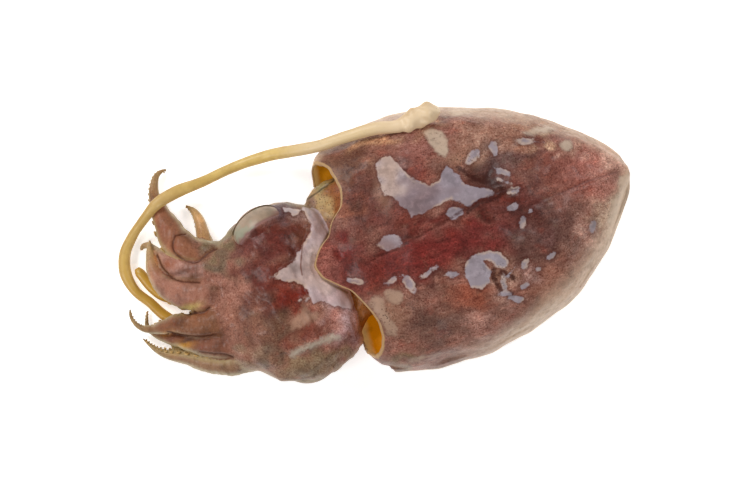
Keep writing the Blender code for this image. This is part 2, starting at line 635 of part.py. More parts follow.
def frames(points, oral):
    """Directions ahead, to the sucker side and across, at each point of a line."""
    ahead = np.gradient(points, axis=0)
    ahead /= np.linalg.norm(ahead, axis=1)[:, None]
    side = np.broadcast_to(np.array(oral, float), points.shape)
    side = side - ahead * np.einsum("ij,ij->i", side, ahead)[:, None]
    side /= np.linalg.norm(side, axis=1)[:, None]
    return ahead, side, np.cross(ahead, side)


def limb(name, line, oral, segments, depth, grow=0.0, stand=0.0, material=None):
    """A tapered limb: flatter on its sucker side, and grown by a clearance where it cuts its neighbours."""
    ahead, side, across = frames(line[:, :3], oral)
    angle = np.linspace(0, 2 * math.pi, segments, endpoint=False)
    half = line[:, 3] / 2
    c, s = np.cos(angle), np.sin(angle)
    if stand:
        c = np.where(s > 0, np.sign(c) * np.abs(c) ** 0.55, c)
        s = np.where(s > 0, np.abs(s) ** 0.55, s)
    reach = np.where(s > 0, 2 * depth * ORAL_SHARE, 2 * depth * (1 - ORAL_SHARE))
    out = half[:, None] * reach[None, :] * s[None, :]
    wide = (half[:, None] + grow) * c[None, :]
    out = out + grow * s[None, :] + 1.15 * stand * np.maximum(s, 0)[None, :]
    rings = line[:, None, :3] + wide[..., None] * across[:, None] + out[..., None] * side[:, None]
    rings[..., 2] = np.maximum(rings[..., 2], LIMB_LOWEST - grow)
    if grow:
        rings[0] -= ahead[0] * grow
        rings[-1] += ahead[-1] * grow
    return add_object(name, *loft(rings), material=material)


def sucker_objects(name, path, oral, start, depth, radius_share):
    """Suckers in two staggered rows, from the end of the bare root to the tip, each smaller than the last."""
    line, at = sampled(path, 0.12)
    ahead, side, across = frames(line[:, :3], oral)
    made = []
    reach, turn = start, 1
    while reach < at[-1] - 0.5:
        width = np.interp(reach, at, line[:, 3])
        radius = max(SUCKER_LEAST, width * radius_share)
        here, look, over, forward = (
            np.array([np.interp(reach, at, values[:, c]) for c in range(3)])
            for values in (line, side, across, ahead)
        )
        skin = width * depth * ORAL_SHARE
        sunk = SUCKER_ROOT + radius * 0.5
        root = here + over * turn * SUCKER_OFFSET * width + look * (skin * 0.86 - sunk)
        height = sunk + skin * 0.14 + SUCKER_STAND * min(1.0, radius / SUCKER_LARGE)
        made.append(sucker(f"{name}_sucker_{len(made)}", root, look, forward, radius, height))
        reach += radius * SUCKER_SPACING
        turn = -turn
    return made


def sucker(name, root, look, forward, radius, height):
    """One sucker: a short stub that widens to its cup."""
    across = np.cross(look, forward)
    angle = np.linspace(0, 2 * math.pi, SUCKER_SIDES, endpoint=False)
    circle = np.cos(angle)[:, None] * across + np.sin(angle)[:, None] * forward
    rings = np.array([root + circle * radius * 0.72, root + look * height + circle * radius])
    points = rings.reshape(-1, 3).tolist()
    n = SUCKER_SIDES
    faces = [(j, (j + 1) % n, n + (j + 1) % n, n + j) for j in range(n)]
    faces += [tuple(reversed(range(n))), tuple(range(n, 2 * n))]
    return add_object(name, points, faces)


def tentacle_lengths(names, path, cuts, oral):
    """The lengths of one tentacle, parted by thin gaps across it."""
    line, at = sampled(path, 0.12)
    total = at[-1]
    ends = [0.0, *cuts, 1.0]
    made = []
    for name, low, high in zip(names, ends[:-1], ends[1:]):
        clear = GAP / 2 / total
        low_cut = low + (clear if low > 0 else 0)
        high_cut = high - (clear if high < 1 else 0)
        part, _ = sampled(path, TENTACLE_RING_STEP, low_cut, high_cut)
        made.append((name, part, oral))
    return made


def box_of(target):
    corners = np.array([v.co for v in target.data.vertices])
    return corners.min(axis=0), corners.max(axis=0)


def boxes_meet(a, b):
    (low_a, high_a), (low_b, high_b) = box_of(a), box_of(b)
    return bool(np.all(low_a <= high_b) and np.all(low_b <= high_a))


def cut_clear(target, cutters, solver="EXACT"):
    """Cuts the target clear of every grown copy that it meets."""
    made = [make() for make in cutters]
    near = [cutter for cutter in made if boxes_meet(target, cutter)]
    for cutter in made:
        if cutter not in near:
            bpy.data.objects.remove(cutter)
    if near:
        apply_boolean(target, "DIFFERENCE", near, solver)
    largest_body(target)


def build_limbs(head_cutter):
    """Arms and tentacles, each cut clear of the head and of the ones laid before it."""
    cutters = [head_cutter]
    lengths = tentacle_lengths(LONG_TENTACLE_NODES, LONG_TENTACLE, LONG_TENTACLE_CUTS, STALK_ORAL)
    lengths += tentacle_lengths(SHORT_TENTACLE_NODES, SHORT_TENTACLE, SHORT_TENTACLE_CUTS, STALK_ORAL)
    for name, part, oral in lengths:
        club = name.endswith("club")
        oral = CLUB_ORAL if name == "tentacle_left_club" else oral
        tube = limb(name, part, oral, TENTACLE_SEGMENTS, TENTACLE_DEPTH, material="tentacle")
        if name == "tentacle_left_club":
            stubs = sucker_objects(
                name, part, oral, CLUB_SUCKERS["start"], TENTACLE_DEPTH, CLUB_SUCKERS["radius"]
            )
            apply_boolean(tube, "UNION", stubs, CROWDED)
        cut_clear(tube, [*cutters, mantle_space], CROWDED)
        stand = SUCKER_STAND if club else 0.0
        make = lambda part=part, oral=oral, stand=stand: limb(
            "cutter", part, oral, TENTACLE_SEGMENTS, TENTACLE_DEPTH, grow=GAP, stand=stand
        )
        if name not in LONG_TENTACLE_NODES[2:]:
            cutters.append(make)
    for name, arm in ARMS.items():
        line, _ = sampled(arm["path"], ARM_RING_STEP)
        tube = limb(name, line, arm["oral"], ARM_SEGMENTS, ARM_DEPTH, material="arm")
        stubs = sucker_objects(name, arm["path"], arm["oral"], SUCKER_START, ARM_DEPTH, SUCKER_RADIUS)
        apply_boolean(tube, "UNION", stubs, CROWDED)
        cut_clear(tube, cutters, CROWDED)
        cutters.append(lambda line=line, arm=arm: limb(
            "cutter", line, arm["oral"], ARM_SEGMENTS, ARM_DEPTH, grow=GAP, stand=SUCKER_STAND
        ))
    return cutters


def build():
    for old in list(bpy.data.objects):
        bpy.data.objects.remove(old)
    build_mantle()
    for side in (1, -1):
        build_fin(side)
    head = head_object("head")
    eyes = (("eye_right", EYE_RIGHT, 1), ("eye_left", EYE_LEFT, -1))
    apply_boolean(head, "UNION", [lid_object(f"{name}_lid", eye, side) for name, eye, side in eyes])
    apply_boolean(head, "DIFFERENCE", [ellipsoid(f"{name}_socket", eye, grow=GAP) for name, eye, _ in eyes])
    apply_boolean(head, "DIFFERENCE", [funnel_object("funnel_space", grow=GAP)])
    largest_body(head)
    for name, eye, _ in eyes:
        ellipsoid(name, eye, material="eye")
    head_cutter = lambda: head_object("head_space", grow=GAP)
    funnel_object("funnel")
    cut_clear(build_neck(), [head_cutter, lambda: funnel_object("funnel_space", grow=GAP)])
    cutters = build_limbs(head_cutter)
    cut_clear(build_mouth(), cutters)


build()
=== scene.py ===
import math

import bpy
import numpy as np
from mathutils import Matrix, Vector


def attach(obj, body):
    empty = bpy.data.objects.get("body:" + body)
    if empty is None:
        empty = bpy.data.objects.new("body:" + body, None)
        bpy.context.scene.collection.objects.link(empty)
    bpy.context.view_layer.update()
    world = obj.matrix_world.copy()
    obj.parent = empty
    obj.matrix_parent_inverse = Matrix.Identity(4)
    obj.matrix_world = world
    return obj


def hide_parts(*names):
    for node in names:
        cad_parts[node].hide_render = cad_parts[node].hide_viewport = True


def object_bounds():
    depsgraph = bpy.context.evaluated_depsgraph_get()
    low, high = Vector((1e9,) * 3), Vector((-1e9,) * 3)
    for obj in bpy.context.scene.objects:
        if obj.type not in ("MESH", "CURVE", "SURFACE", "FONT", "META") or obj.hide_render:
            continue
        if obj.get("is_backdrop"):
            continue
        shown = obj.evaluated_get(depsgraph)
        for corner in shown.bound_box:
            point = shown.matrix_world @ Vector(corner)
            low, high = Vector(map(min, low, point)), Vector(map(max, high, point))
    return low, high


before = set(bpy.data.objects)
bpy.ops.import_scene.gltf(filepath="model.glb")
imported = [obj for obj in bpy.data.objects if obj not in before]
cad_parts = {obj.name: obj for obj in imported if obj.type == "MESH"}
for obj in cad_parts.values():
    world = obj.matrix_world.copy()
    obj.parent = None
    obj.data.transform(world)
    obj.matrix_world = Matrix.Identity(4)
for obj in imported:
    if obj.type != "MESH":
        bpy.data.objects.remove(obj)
cadLow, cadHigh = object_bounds()

mm = 0.001
middle = (0.4, -0.61)  # what the animal's own frame is moved by, in mm


# numbers and noise


def smoothThrough(stations, values, at):
    # cubic Hermite pieces through the values, with slopes that never overshoot
    stations, values = np.asarray(stations, float), np.asarray(values, float)
    at = np.clip(np.asarray(at, float), stations[0], stations[-1])
    step = np.diff(stations)
    rise = np.diff(values) / step
    slope = np.empty(len(values))
    slope[0], slope[-1] = rise[0], rise[-1]
    before, after = rise[:-1], rise[1:]
    mean = 2 * before * after / np.where(before + after == 0, 1, before + after)
    slope[1:-1] = np.where(before * after > 0, mean, 0)
    i = np.clip(np.searchsorted(stations, at, side="right") - 1, 0, len(step) - 1)
    t = (at - stations[i]) / step[i]
    ends = values[i] * (1 + 2 * t) * (1 - t) ** 2 + values[i + 1] * t * t * (3 - 2 * t)
    return ends + step[i] * t * (1 - t) * (slope[i] * (1 - t) - slope[i + 1] * t)


def rise(value, low, high):
    # 0 below low, 1 above high, with an S curve between them
    t = np.clip((value - low) / (high - low), 0, 1)
    return t * t * (3 - 2 * t)


def bell(value, at, wide):
    # bell curve: 1 where the value is at, and e times less when it is wide away
    return np.exp(-(((value - at) / wide) ** 2))


def lumps(points, size, seed):
    # smooth random field of unit spread: sine waves of random direction, each about size long
    count = 24
    dice = np.random.default_rng(seed)
    way = dice.normal(size=(count, 3))
    way *= (2 * math.pi / (size * dice.uniform(0.7, 1.6, (count, 1)))) / np.linalg.norm(way, axis=1)[:, None]
    waves = np.sin(points @ way.T + dice.uniform(0, 2 * math.pi, count))
    return waves.sum(axis=-1) / math.sqrt(count / 2)


def outlineDistance(xy, outline):
    # distance in plan to a closed outline, negative inside: nearest of its edges, sign by counting crossings
    a = np.array(outline, float)
    b = np.roll(a, -1, axis=0)
    along = b - a
    off = xy[:, None] - a[None]
    t = np.clip((off * along).sum(axis=2) / (along**2).sum(axis=1), 0, 1)
    near = np.sqrt(((off - t[..., None] * along) ** 2).sum(axis=2)).min(axis=1)
    x, y = xy[:, :1], xy[:, 1:]
    level = np.where(along[:, 1] == 0, 1e-9, along[:, 1])
    crossing = ((a[:, 1] > y) != (b[:, 1] > y)) & (x < along[:, 0] * (y - a[:, 1]) / level + a[:, 0])
    return np.where(crossing.sum(axis=1) % 2 == 1, -near, near)


def ovalDistance(xy, oval):
    # about the distance to an oval (x, y, half length, half width, degrees), negative inside
    x, y, length, width, turn = oval
    c, s = math.cos(math.radians(turn)), math.sin(math.radians(turn))
    u = (xy[:, 0] - x) * c + (xy[:, 1] - y) * s
    v = -(xy[:, 0] - x) * s + (xy[:, 1] - y) * c
    return (np.hypot(u / length, v / width) - 1) * min(length, width)


def rounded(line):
    # the same line with its corners cut at a quarter of each run, three times
    line = np.array(line, float)
    for _ in range(3):
        cut = np.stack([0.75 * line[:-1] + 0.25 * line[1:], 0.25 * line[:-1] + 0.75 * line[1:]], axis=1)
        line = np.concatenate([line[:1], cut.reshape(-1, 2), line[-1:]])
    return line


def lineDistance(xy, line):
    # distance in plan to an open line of straight runs
    a, b = np.array(line[:-1], float), np.array(line[1:], float)
    along = b - a
    off = xy[:, None] - a[None]
    t = np.clip((off * along).sum(axis=2) / (along**2).sum(axis=1), 0, 1)
    return np.sqrt(((off - t[..., None] * along) ** 2).sum(axis=2)).min(axis=1)


def patchDistance(points, outlines, ovals):
    # nearest of several patches on the upper side
    xy = points[:, :2]
    found = [outlineDistance(xy, o) for o in outlines] + [ovalDistance(xy, o) for o in ovals]
    return np.min(found, axis=0)


def paint(r, g, b):
    # a colour as the eye sees it, 0 to 255, in linear light
    c = np.array([r, g, b]) / 255
    return tuple(np.where(c <= 0.04045, c / 12.92, ((c + 0.055) / 1.055) ** 2.4).tolist())


def zoneWeight(points, zone):
    # bell curve in plan about a zone (x, y, reach along x, reach along y, and sometimes a colour)
    x, y, reachX, reachY = zone[:4]
    return np.exp(-(((points[:, 0] - x) / reachX) ** 2) - ((points[:, 1] - y) / reachY) ** 2)


zoneMix = {
    "ground": 0.18,  # weight of the ground colour
    "bend": 0.7,  # how far smooth noise of this size bends the zones, in mm
    "size": 3.2,
    "seeds": (71, 72),
}


def zoneTones(points, ground, zones):
    # mean of the ground colour and the zones' colours, each zone by its weight at the bent place
    bend = [lumps(points, zoneMix["size"], seed) for seed in zoneMix["seeds"]]
    points = points + zoneMix["bend"] * np.stack([*bend, 0 * points[:, 2]], axis=1)
    total = np.full(len(points), zoneMix["ground"])
    tone = np.array(paint(*ground))[None] * total[:, None]
    for zone in zones:
        weight = zoneWeight(points, zone)
        tone = tone + weight[:, None] * np.array(paint(*zone[4]))
        total = total + weight
    return tone / total[:, None]


def zoneShare(points, zones):
    # the largest of several zones' weights
    return np.max([zoneWeight(points, zone) for zone in zones], axis=0)


# meshes


def ringFaces(rows, cols):
    # quads of a tube of rows rings of cols points
    j = np.arange(cols)
    turn = (j + 1) % cols
    here = np.arange(rows - 1)[:, None] * cols
    ahead = here + cols
    return np.stack([here + j, here + turn, ahead + turn, ahead + j], axis=-1).reshape(-1, 4)


def tubeParts(rings):
    # points and faces of a tube with both ends closed by a fan
    rows, cols = rings.shape[:2]
    points = np.concatenate([rings.reshape(-1, 3), rings[:1].mean(axis=1), rings[-1:].mean(axis=1)])
    j = np.arange(cols)
    turn = (j + 1) % cols
    last = (rows - 1) * cols
    start = np.stack([turn, j, np.full(cols, rows * cols)], axis=1)
    end = np.stack([last + j, last + turn, np.full(cols, rows * cols + 1)], axis=1)
    return points, [*ringFaces(rows, cols).tolist(), *start.tolist(), *end.tolist()]


def withEnds(marks):
    # a tube's marks, with those of its two closing points taken from the first and the last
    return {k: np.concatenate([v, v[:1], v[-1:]]) for k, v in marks.items()}


def joinParts(parts):
    # several meshes' points and faces as one
    points, faces, base = [], [], 0
    for some, theirs in parts:
        points.append(some)
        faces += [[v + base for v in f] for f in theirs]
        base += len(some)
    return np.concatenate(points), faces


def outward(points, faces):
    # turns every face round if the shape holds less than nothing
    held = 0.0
    for size in (3, 4):
        f = np.array([x for x in faces if len(x) == size])
        if len(f):
            p = points[f]
            held += np.einsum("ij,ij->i", p[:, 0], np.cross(p[:, 1], p[:, 2])).sum()
            if size == 4:
                held += np.einsum("ij,ij->i", p[:, 0], np.cross(p[:, 2], p[:, 3])).sum()
    return faces if held > 0 else [f[::-1] for f in faces]


def linked(name, data):
    # a new object, put in the scene
    made = bpy.data.objects.new(name, data)
    bpy.context.scene.collection.objects.link(made)
    return made


def makePiece(name, points, faces, material, nodes, attributes=None):
    # a mesh from points in the animal's own mm, set in the frame, with its marks as values or colours
    mesh = bpy.data.meshes.new(name)
    placed = (points - np.array([middle[0], middle[1], 0.0])) * mm
    mesh.from_pydata(placed.tolist(), [], faces)
    mesh.shade_smooth()
    for key, values in (attributes or {}).items():
        values = np.asarray(values, float)
        if values.ndim == 2:
            layer = mesh.attributes.new(key, "FLOAT_COLOR", "POINT")
            flat = np.concatenate([values, np.ones((len(values), 1))], axis=1)
            layer.data.foreach_set("color", flat.astype(np.float32).ravel())
        else:
            layer = mesh.attributes.new(key, "FLOAT", "POINT")
            layer.data.foreach_set("value", values.astype(np.float32))
    mesh.materials.append(material)
    piece = linked(name, mesh)
    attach(piece, "root")
    if nodes:
        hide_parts(*nodes)
    return piece


def gridNormals(grid):
    # normals of a closed-round grid of points, rows by cols
    down = np.gradient(grid, axis=0)
    aroundStep = np.roll(grid, -1, axis=1) - np.roll(grid, 1, axis=1)
    normal = np.cross(aroundStep, down)
    return normal / np.maximum(np.linalg.norm(normal, axis=2), 1e-9)[..., None]


# shader maths


class Term:
    # one output of a node; sums written with it add Math nodes
    def __init__(self, finish, socket):
        self.finish, self.socket = finish, socket

    def math(self, operation, first, second):
        return self.finish.node("Math", {"operation": operation}, {0: first, 1: second})

    def __add__(self, other):
        return self.math("ADD", self, other)

    def __radd__(self, other):
        return self.math("ADD", other, self)

    def __sub__(self, other):
        return self.math("SUBTRACT", self, other)

    def __rsub__(self, other):
        return self.math("SUBTRACT", other, self)

    def __mul__(self, other):
        return self.math("MULTIPLY", self, other)

    def __rmul__(self, other):
        return self.math("MULTIPLY", other, self)


class Finish:
    # one material and its nodes
    def __init__(self, name):
        self.material = bpy.data.materials.new(name)
        self.material.use_nodes = True
        self.tree = self.material.node_tree
        self.shader = self.tree.nodes["Principled BSDF"]
        place = self.node("TexCoord", {}, {}, "Object")
        self.place = self.node("VectorMath", {"operation": "SCALE"}, {0: place, "Scale": 1 / mm})

    def node(self, kind, settings, values, output=0):
        made = self.tree.nodes.new("ShaderNode" + kind)
        for key, value in settings.items():
            setattr(made, key, value)
        for key, value in values.items():
            self.put(made.inputs[key], value)
        return Term(self, made.outputs[output])

    def put(self, socket, value):
        if isinstance(value, Term):
            self.tree.links.new(value.socket, socket)
        elif isinstance(value, tuple) and len(value) == 3 and socket.type == "RGBA":
            socket.default_value = (*value, 1.0)
        else:
            socket.default_value = value

    def set(self, **values):
        for key, value in values.items():
            self.put(self.shader.inputs[key.replace("_", " ").title()], value)

    def noise(self, perMm, detail=4.0, roughness=0.6, stretch=None):
        place = self.place
        if stretch:
            place = self.node("VectorMath", {"operation": "MULTIPLY"}, {0: place, 1: stretch})
        values = {"Vector": place, "Scale": perMm, "Detail": detail, "Roughness": roughness}
        return self.node("TexNoise", {}, values)

    def dots(self, perMm, radius, soft):
        # round dots about the points of a Voronoi pattern
        far = self.node("TexVoronoi", {}, {"Vector": self.place, "Scale": perMm}, "Distance")
        return self.rise(far, radius + soft, radius)

    def rise(self, value, low, high, most=1.0):
        # 0 at low, most at high, with an S curve between them, in either direction
        ranges = {"Value": value, "From Min": low, "From Max": high, "To Min": 0.0, "To Max": most}
        return self.node("MapRange", {"interpolation_type": "SMOOTHSTEP"}, ranges)

    def read(self, name, output="Fac"):
        return self.node("Attribute", {"attribute_name": name}, {}, output)

    def blend(self, first, second, share, way="MIX"):
        values = {0: share, 6: first, 7: second}
        return self.node("Mix", {"data_type": "RGBA", "blend_type": way}, values, 2)

    def shade(self, colour, share, amount):
        # the colour times an amount, one number or one for each of red, green and blue, where share is 1
        return self.blend(colour, tuple((np.ones(3) * amount).tolist()), share, "MULTIPLY")

    def relief(self, height, depth):
        return self.node("Bump", {}, {"Height": height, "Distance": depth * mm, "Strength": 1.0})


# mantle and fins, one surface

mantle = {
    "x": (-8.6, -5.6, -5.0, -4.2, -3.2, 0.0, 5.0, 10.0, 15.0, 20.0, 25.0, 30.0, 33.0, 35.0, 36.2),
    "right": (9.6, 10.4, 12.3, 13.5, 14.0, 14.5, 15.0, 14.8, 13.6, 12.0, 9.6, 6.0, 3.4, 1.2, -0.8),
    "left": (-14.0, -14.4, -15.4, -16.6, -17.3, -18.0, -18.7, -18.7, -17.9, -16.5, -14.3, -10.1, -6.8, -4.3,
             -2.1),
    "top": (9.7, 10.4, 10.5, 10.7, 11.0, 11.8, 12.6, 12.8, 12.5, 11.5, 9.8, 7.4, 5.7, 4.4, 3.4),
    "side": (4.8, 4.8, 4.8, 4.8, 4.9, 5.0, 5.1, 5.1, 5.0, 4.7, 4.2, 3.5, 3.0, 2.7, 2.5),
    "belly": (-0.3, -0.3, -0.3, -0.3, -0.4, -0.5, -0.6, -0.6, -0.6, -0.5, -0.4, 0.1, 0.6, 1.1, 1.6),
    "rim": (  # where the free edge stands: degrees round from the right side over the back, and x
        (0, -5.2), (19, -4.3), (34, -3.0), (48, -2.4), (56, -2.3), (63, -2.9), (68, -4.4), (71, -5.9),
        (74, -7.0), (79, -8.1), (85, -8.8), (90, -8.4), (96, -7.0), (105, -4.9), (112, -3.8), (123, -2.85),
        (134, -3.0), (145, -3.75), (162, -4.9), (170, -5.3), (180, -5.6), (225, -5.8), (270, -5.2),
        (315, -5.7), (360, -5.2),
    ),
    "edge": 0.5,  # thickness at the free edge, and of the wall behind it
    "wall": 1.0,
    "lip": (0.12, 0.17),  # start of the cavity's wall behind the rim, and reach of the lip before it
    "cavityEnd": 4.9,
    "cavityFloor": 0.35,
    "cavityRings": 26,
    "rings": 190,
    "columns": 172,  # across the back
    "bellyColumns": 84,
    "finSteps": 9,
    "finAngle": 3.3,  # half the angle that a fin's root takes, in degrees
    "finX": (-3.6, -2.9, 0.0, 10.0, 20.0, 28.0, 33.0, 35.4, 36.2),
    "finSpread": (0.0, 0.25, 0.4, 0.55, 0.57, 0.57, 0.57, 0.45, 0.1),
    "finFall": (0.6, 1.2, 2.2, 3.2, 3.1, 2.3, 1.3, 0.6, 0.3),
    "finGrows": (-3.7, -2.8),  # where along x it comes out of the wall, and ends in it
    "finEnds": (35.6, 36.2),
    "webTimes": 60,  # how often the slope above the fin's root is smoothed
    "crease": (
        (-2.2, -2.7), (0.1, -2.0), (3.1, -1.8), (6.2, -1.1), (10.4, -0.3), (14.8, 0.8), (18.5, 1.1),
        (20.8, 0.9),
    ),
    "seam": ((20.8, -2.2), (25.0, -1.7), (30.0, -1.2), (36.2, -1.2)),
}
sectionPower = {"back": 2.25, "belly": 3.0, "neck": 2.3}


def bodyEdges(sizes, x):
    # where a body piece's section has its right, left, top, side and belly
    return [smoothThrough(sizes["x"], sizes[k], x) for k in ("right", "left", "top", "side", "belly")]


def bodyPoints(x, angle, sizes, inset=0.0):
    # superellipse sections: for each angle, across and up are its cosine and sine, each to the power of 2
    # over the section's power; the back and the belly have powers of their own, and z stops at the floor
    right, left, top, side, belly = bodyEdges(sizes, x)
    c, s = np.cos(angle), np.sin(angle)
    low = s < 0
    power = np.where(low, 2 / sectionPower["belly"], 2 / sectionPower["back"])
    across = np.sign(c) * np.abs(c) ** power
    up = np.sign(s) * np.abs(s) ** power
    y = (right + left) / 2 + ((right - left) / 2 - inset) * across
    lowHeight = side - (belly if inset == 0 else np.maximum(belly, 0) + inset)
    z = np.where(low, side + lowHeight * up, side + (top - inset - side) * up)
    return np.stack([x + 0 * y, y, np.maximum(z, 0)], axis=-1)


def mantleGrid():
    # contour order: right fin from its edge in, back, left fin out and in, belly, right fin out to its edge;
    # each point keeps its angle, and x runs from the free rim at that angle to the tail
    finSteps, tail = mantle["finSteps"], mantle["x"][-1]
    u = np.linspace(0, 1, finSteps)
    root = math.radians(mantle["finAngle"])
    back = np.linspace(root, math.pi - root, mantle["columns"])
    belly = np.linspace(math.pi + root, 2 * math.pi - root, mantle["bellyColumns"])
    rightOver, leftOver = root * (1 - u[::-1]), math.pi - root * (1 - u)
    leftUnder, rightUnder = math.pi + root * (1 - u[::-1]), 2 * math.pi - root * (1 - u)
    angle = np.concatenate([rightOver, back, leftOver, leftUnder, belly, rightUnder])
    reach = np.concatenate([u[::-1], 0 * back, u, u[::-1], 0 * belly, u])
    face = np.concatenate([0 * u + 1, 0 * back, 0 * u + 1, 0 * u - 1, 0 * belly, 0 * u - 1])
    side = np.where(np.cos(angle) > 0, 1.0, -1.0)
    isFin = face != 0
    rimAngle, rimX = np.array(mantle["rim"]).T
    rim = smoothThrough(rimAngle, rimX, np.degrees(angle) % 360.0001)
    # the rim is a little ragged beside its middle, and the rings stand closer together towards the tail
    ragged = 0.04 * np.sin(angle * 23) + 0.03 * np.sin(angle * 41 + 1)
    rim = rim + ragged * rise(np.abs(np.degrees(angle) - 90), 0, 40)
    share = np.sin(np.linspace(0, 1, mantle["rings"]) ** 1.12 * math.pi / 2)[:, None]
    x = rim + (tail - rim) * share
    shape = bodyPoints(x, np.broadcast_to(angle, x.shape), mantle)
    # the fins wave slowly along the body and thin out to a sharp edge
    wave = 0.12 * np.sin(x * 0.9 + side) + 0.05 * np.sin(x * 2.3 - side)
    spread = smoothThrough(mantle["finX"], mantle["finSpread"], x) + wave * 0.5
    fall = smoothThrough(mantle["finX"], mantle["finFall"], x) + wave
    thick = np.where(reach > 0.97, 0.05, 0.62 - 0.36 * reach)
    rightEdge, leftEdge, _, edgeZ, _ = bodyEdges(mantle, x)
    edgeY = rightEdge * (side > 0) + leftEdge * (side < 0)
    turn = reach * math.pi / 2
    away = np.sin(turn) * spread + face * np.sin(turn) * thick
    down = (1 - np.cos(turn)) * fall - face * np.cos(turn) * thick
    fin = np.stack([x, edgeY + side * away, np.maximum(edgeZ - down, 0.2)], axis=-1)
    grows = (rise(x, *mantle["finGrows"]) * (1 - rise(x, *mantle["finEnds"])) * isFin)[..., None]
    outer = shape * (1 - grows) + fin * grows
    # the upper side of the fin's root is filled to a smooth slope
    column = np.arange(len(angle))
    last = 2 * finSteps + mantle["columns"] - 1
    fromEdge = np.minimum(column, last - column).astype(float)
    web = rise(fromEdge, 1.0, 6.0) * (1 - rise(fromEdge, 20.0, 34.0)) * 0.95
    web = web[None, :, None] * rise(share, 0.02, 0.08)[..., None]
    for _ in range(mantle["webTimes"]):
        between = (np.roll(outer, 1, axis=1) + np.roll(outer, -1, axis=1)) / 2
        outer = outer + web * (between - outer)
    # relief: broad lumps, wrinkles along the body, a groove along the middle crease
    flat = outer.reshape(-1, 3)
    normal = gridNormals(outer)
    if normal[40, 60, 2] < 0:  # a point of the back
        normal = -normal
    crease = lineDistance(flat[:, :2], mantle["crease"]).reshape(x.shape)
    seam = lineDistance(flat[:, :2], mantle["seam"]).reshape(x.shape)
    above = rise(outer[..., 2], 4.0, 6.5)
    height = 0.12 * lumps(flat, 7.0, 3).reshape(x.shape) + 0.035 * lumps(flat, 2.4, 4).reshape(x.shape)
    height += 0.015 * lumps(flat, 1.1, 5).reshape(x.shape)
    height -= above * (0.16 * bell(crease, 0, 0.3) - 0.08 * bell(crease, 0.9, 0.6))
    height -= above * 0.15 * bell(seam, 0, 0.3)
    calm = rise(share, 0.0, 0.04) * (1 - rise(share, 0.97, 1.0)) * (1 - 0.7 * grows[..., 0])
    height = height * calm * rise(outer[..., 2], 0.3, 2.0)
    outer = outer + normal * (height - 0.1 * rise(outer[..., 2], 0.3, 2.0) * calm)[..., None]
    # the inside: from the end of the cavity out to the rim, then round the lip
    behindRim, beforeRim = mantle["lip"]
    deep = mantle["cavityEnd"] - rim - behindRim
    inner = []
    for s in np.linspace(1, 0, mantle["cavityRings"]):
        wall = mantle["edge"] + (mantle["wall"] - mantle["edge"]) * min(1.0, s * 4)
        inner.append(bodyPoints(rim + behindRim + deep * s, angle, mantle, inset=wall))
    inner = np.array(inner)
    swell = 0.05 * lumps(inner.reshape(-1, 3), 2.5, 9)
    inner = inner + swell.reshape(inner.shape[:2])[..., None] * np.array([0, 1, 1])
    inner[..., 2] = np.maximum(inner[..., 2], mantle["cavityFloor"])
    lip = (inner[-1] + outer[0]) / 2 - np.array([beforeRim, 0, 0])
    grid = np.concatenate([inner, lip[None], outer])
    rows = inner.shape[0] + 1
    finReach = np.concatenate([np.zeros((rows, len(angle))), grows[..., 0] * reach])
    fromRim = np.concatenate([np.zeros((rows, len(angle))), x - rim])
    inside = np.concatenate([inner[..., 0] - rim, np.zeros((1 + len(outer), len(angle)))])
    fromLeft = grid[..., 1] - np.interp(grid[..., 0], x[:, 0], outer[..., 1].min(axis=1))
    fromRight = np.interp(grid[..., 0], x[:, 0], outer[..., 1].max(axis=1)) - grid[..., 1]
    wide = 1 + 0.5 * rise(grid[..., 0], 14.0, 22.0)
    behind = 0.12 + 0.88 * rise(grid[..., 0], 3.0, 16.0)
    faint = 0.9 - 0.4 * bell(grid[..., 0], 26.4, 2.2)
    leftMargin = behind * (1 - rise(fromLeft / wide, 0.4, 3.4))
    rightMargin = faint * (1 - rise(fromRight / wide, 0.1, 1.9))
    margin = np.maximum(leftMargin, rightMargin)
    return grid, {"finReach": finReach, "fromRim": fromRim, "inside": inside, "margin": margin}


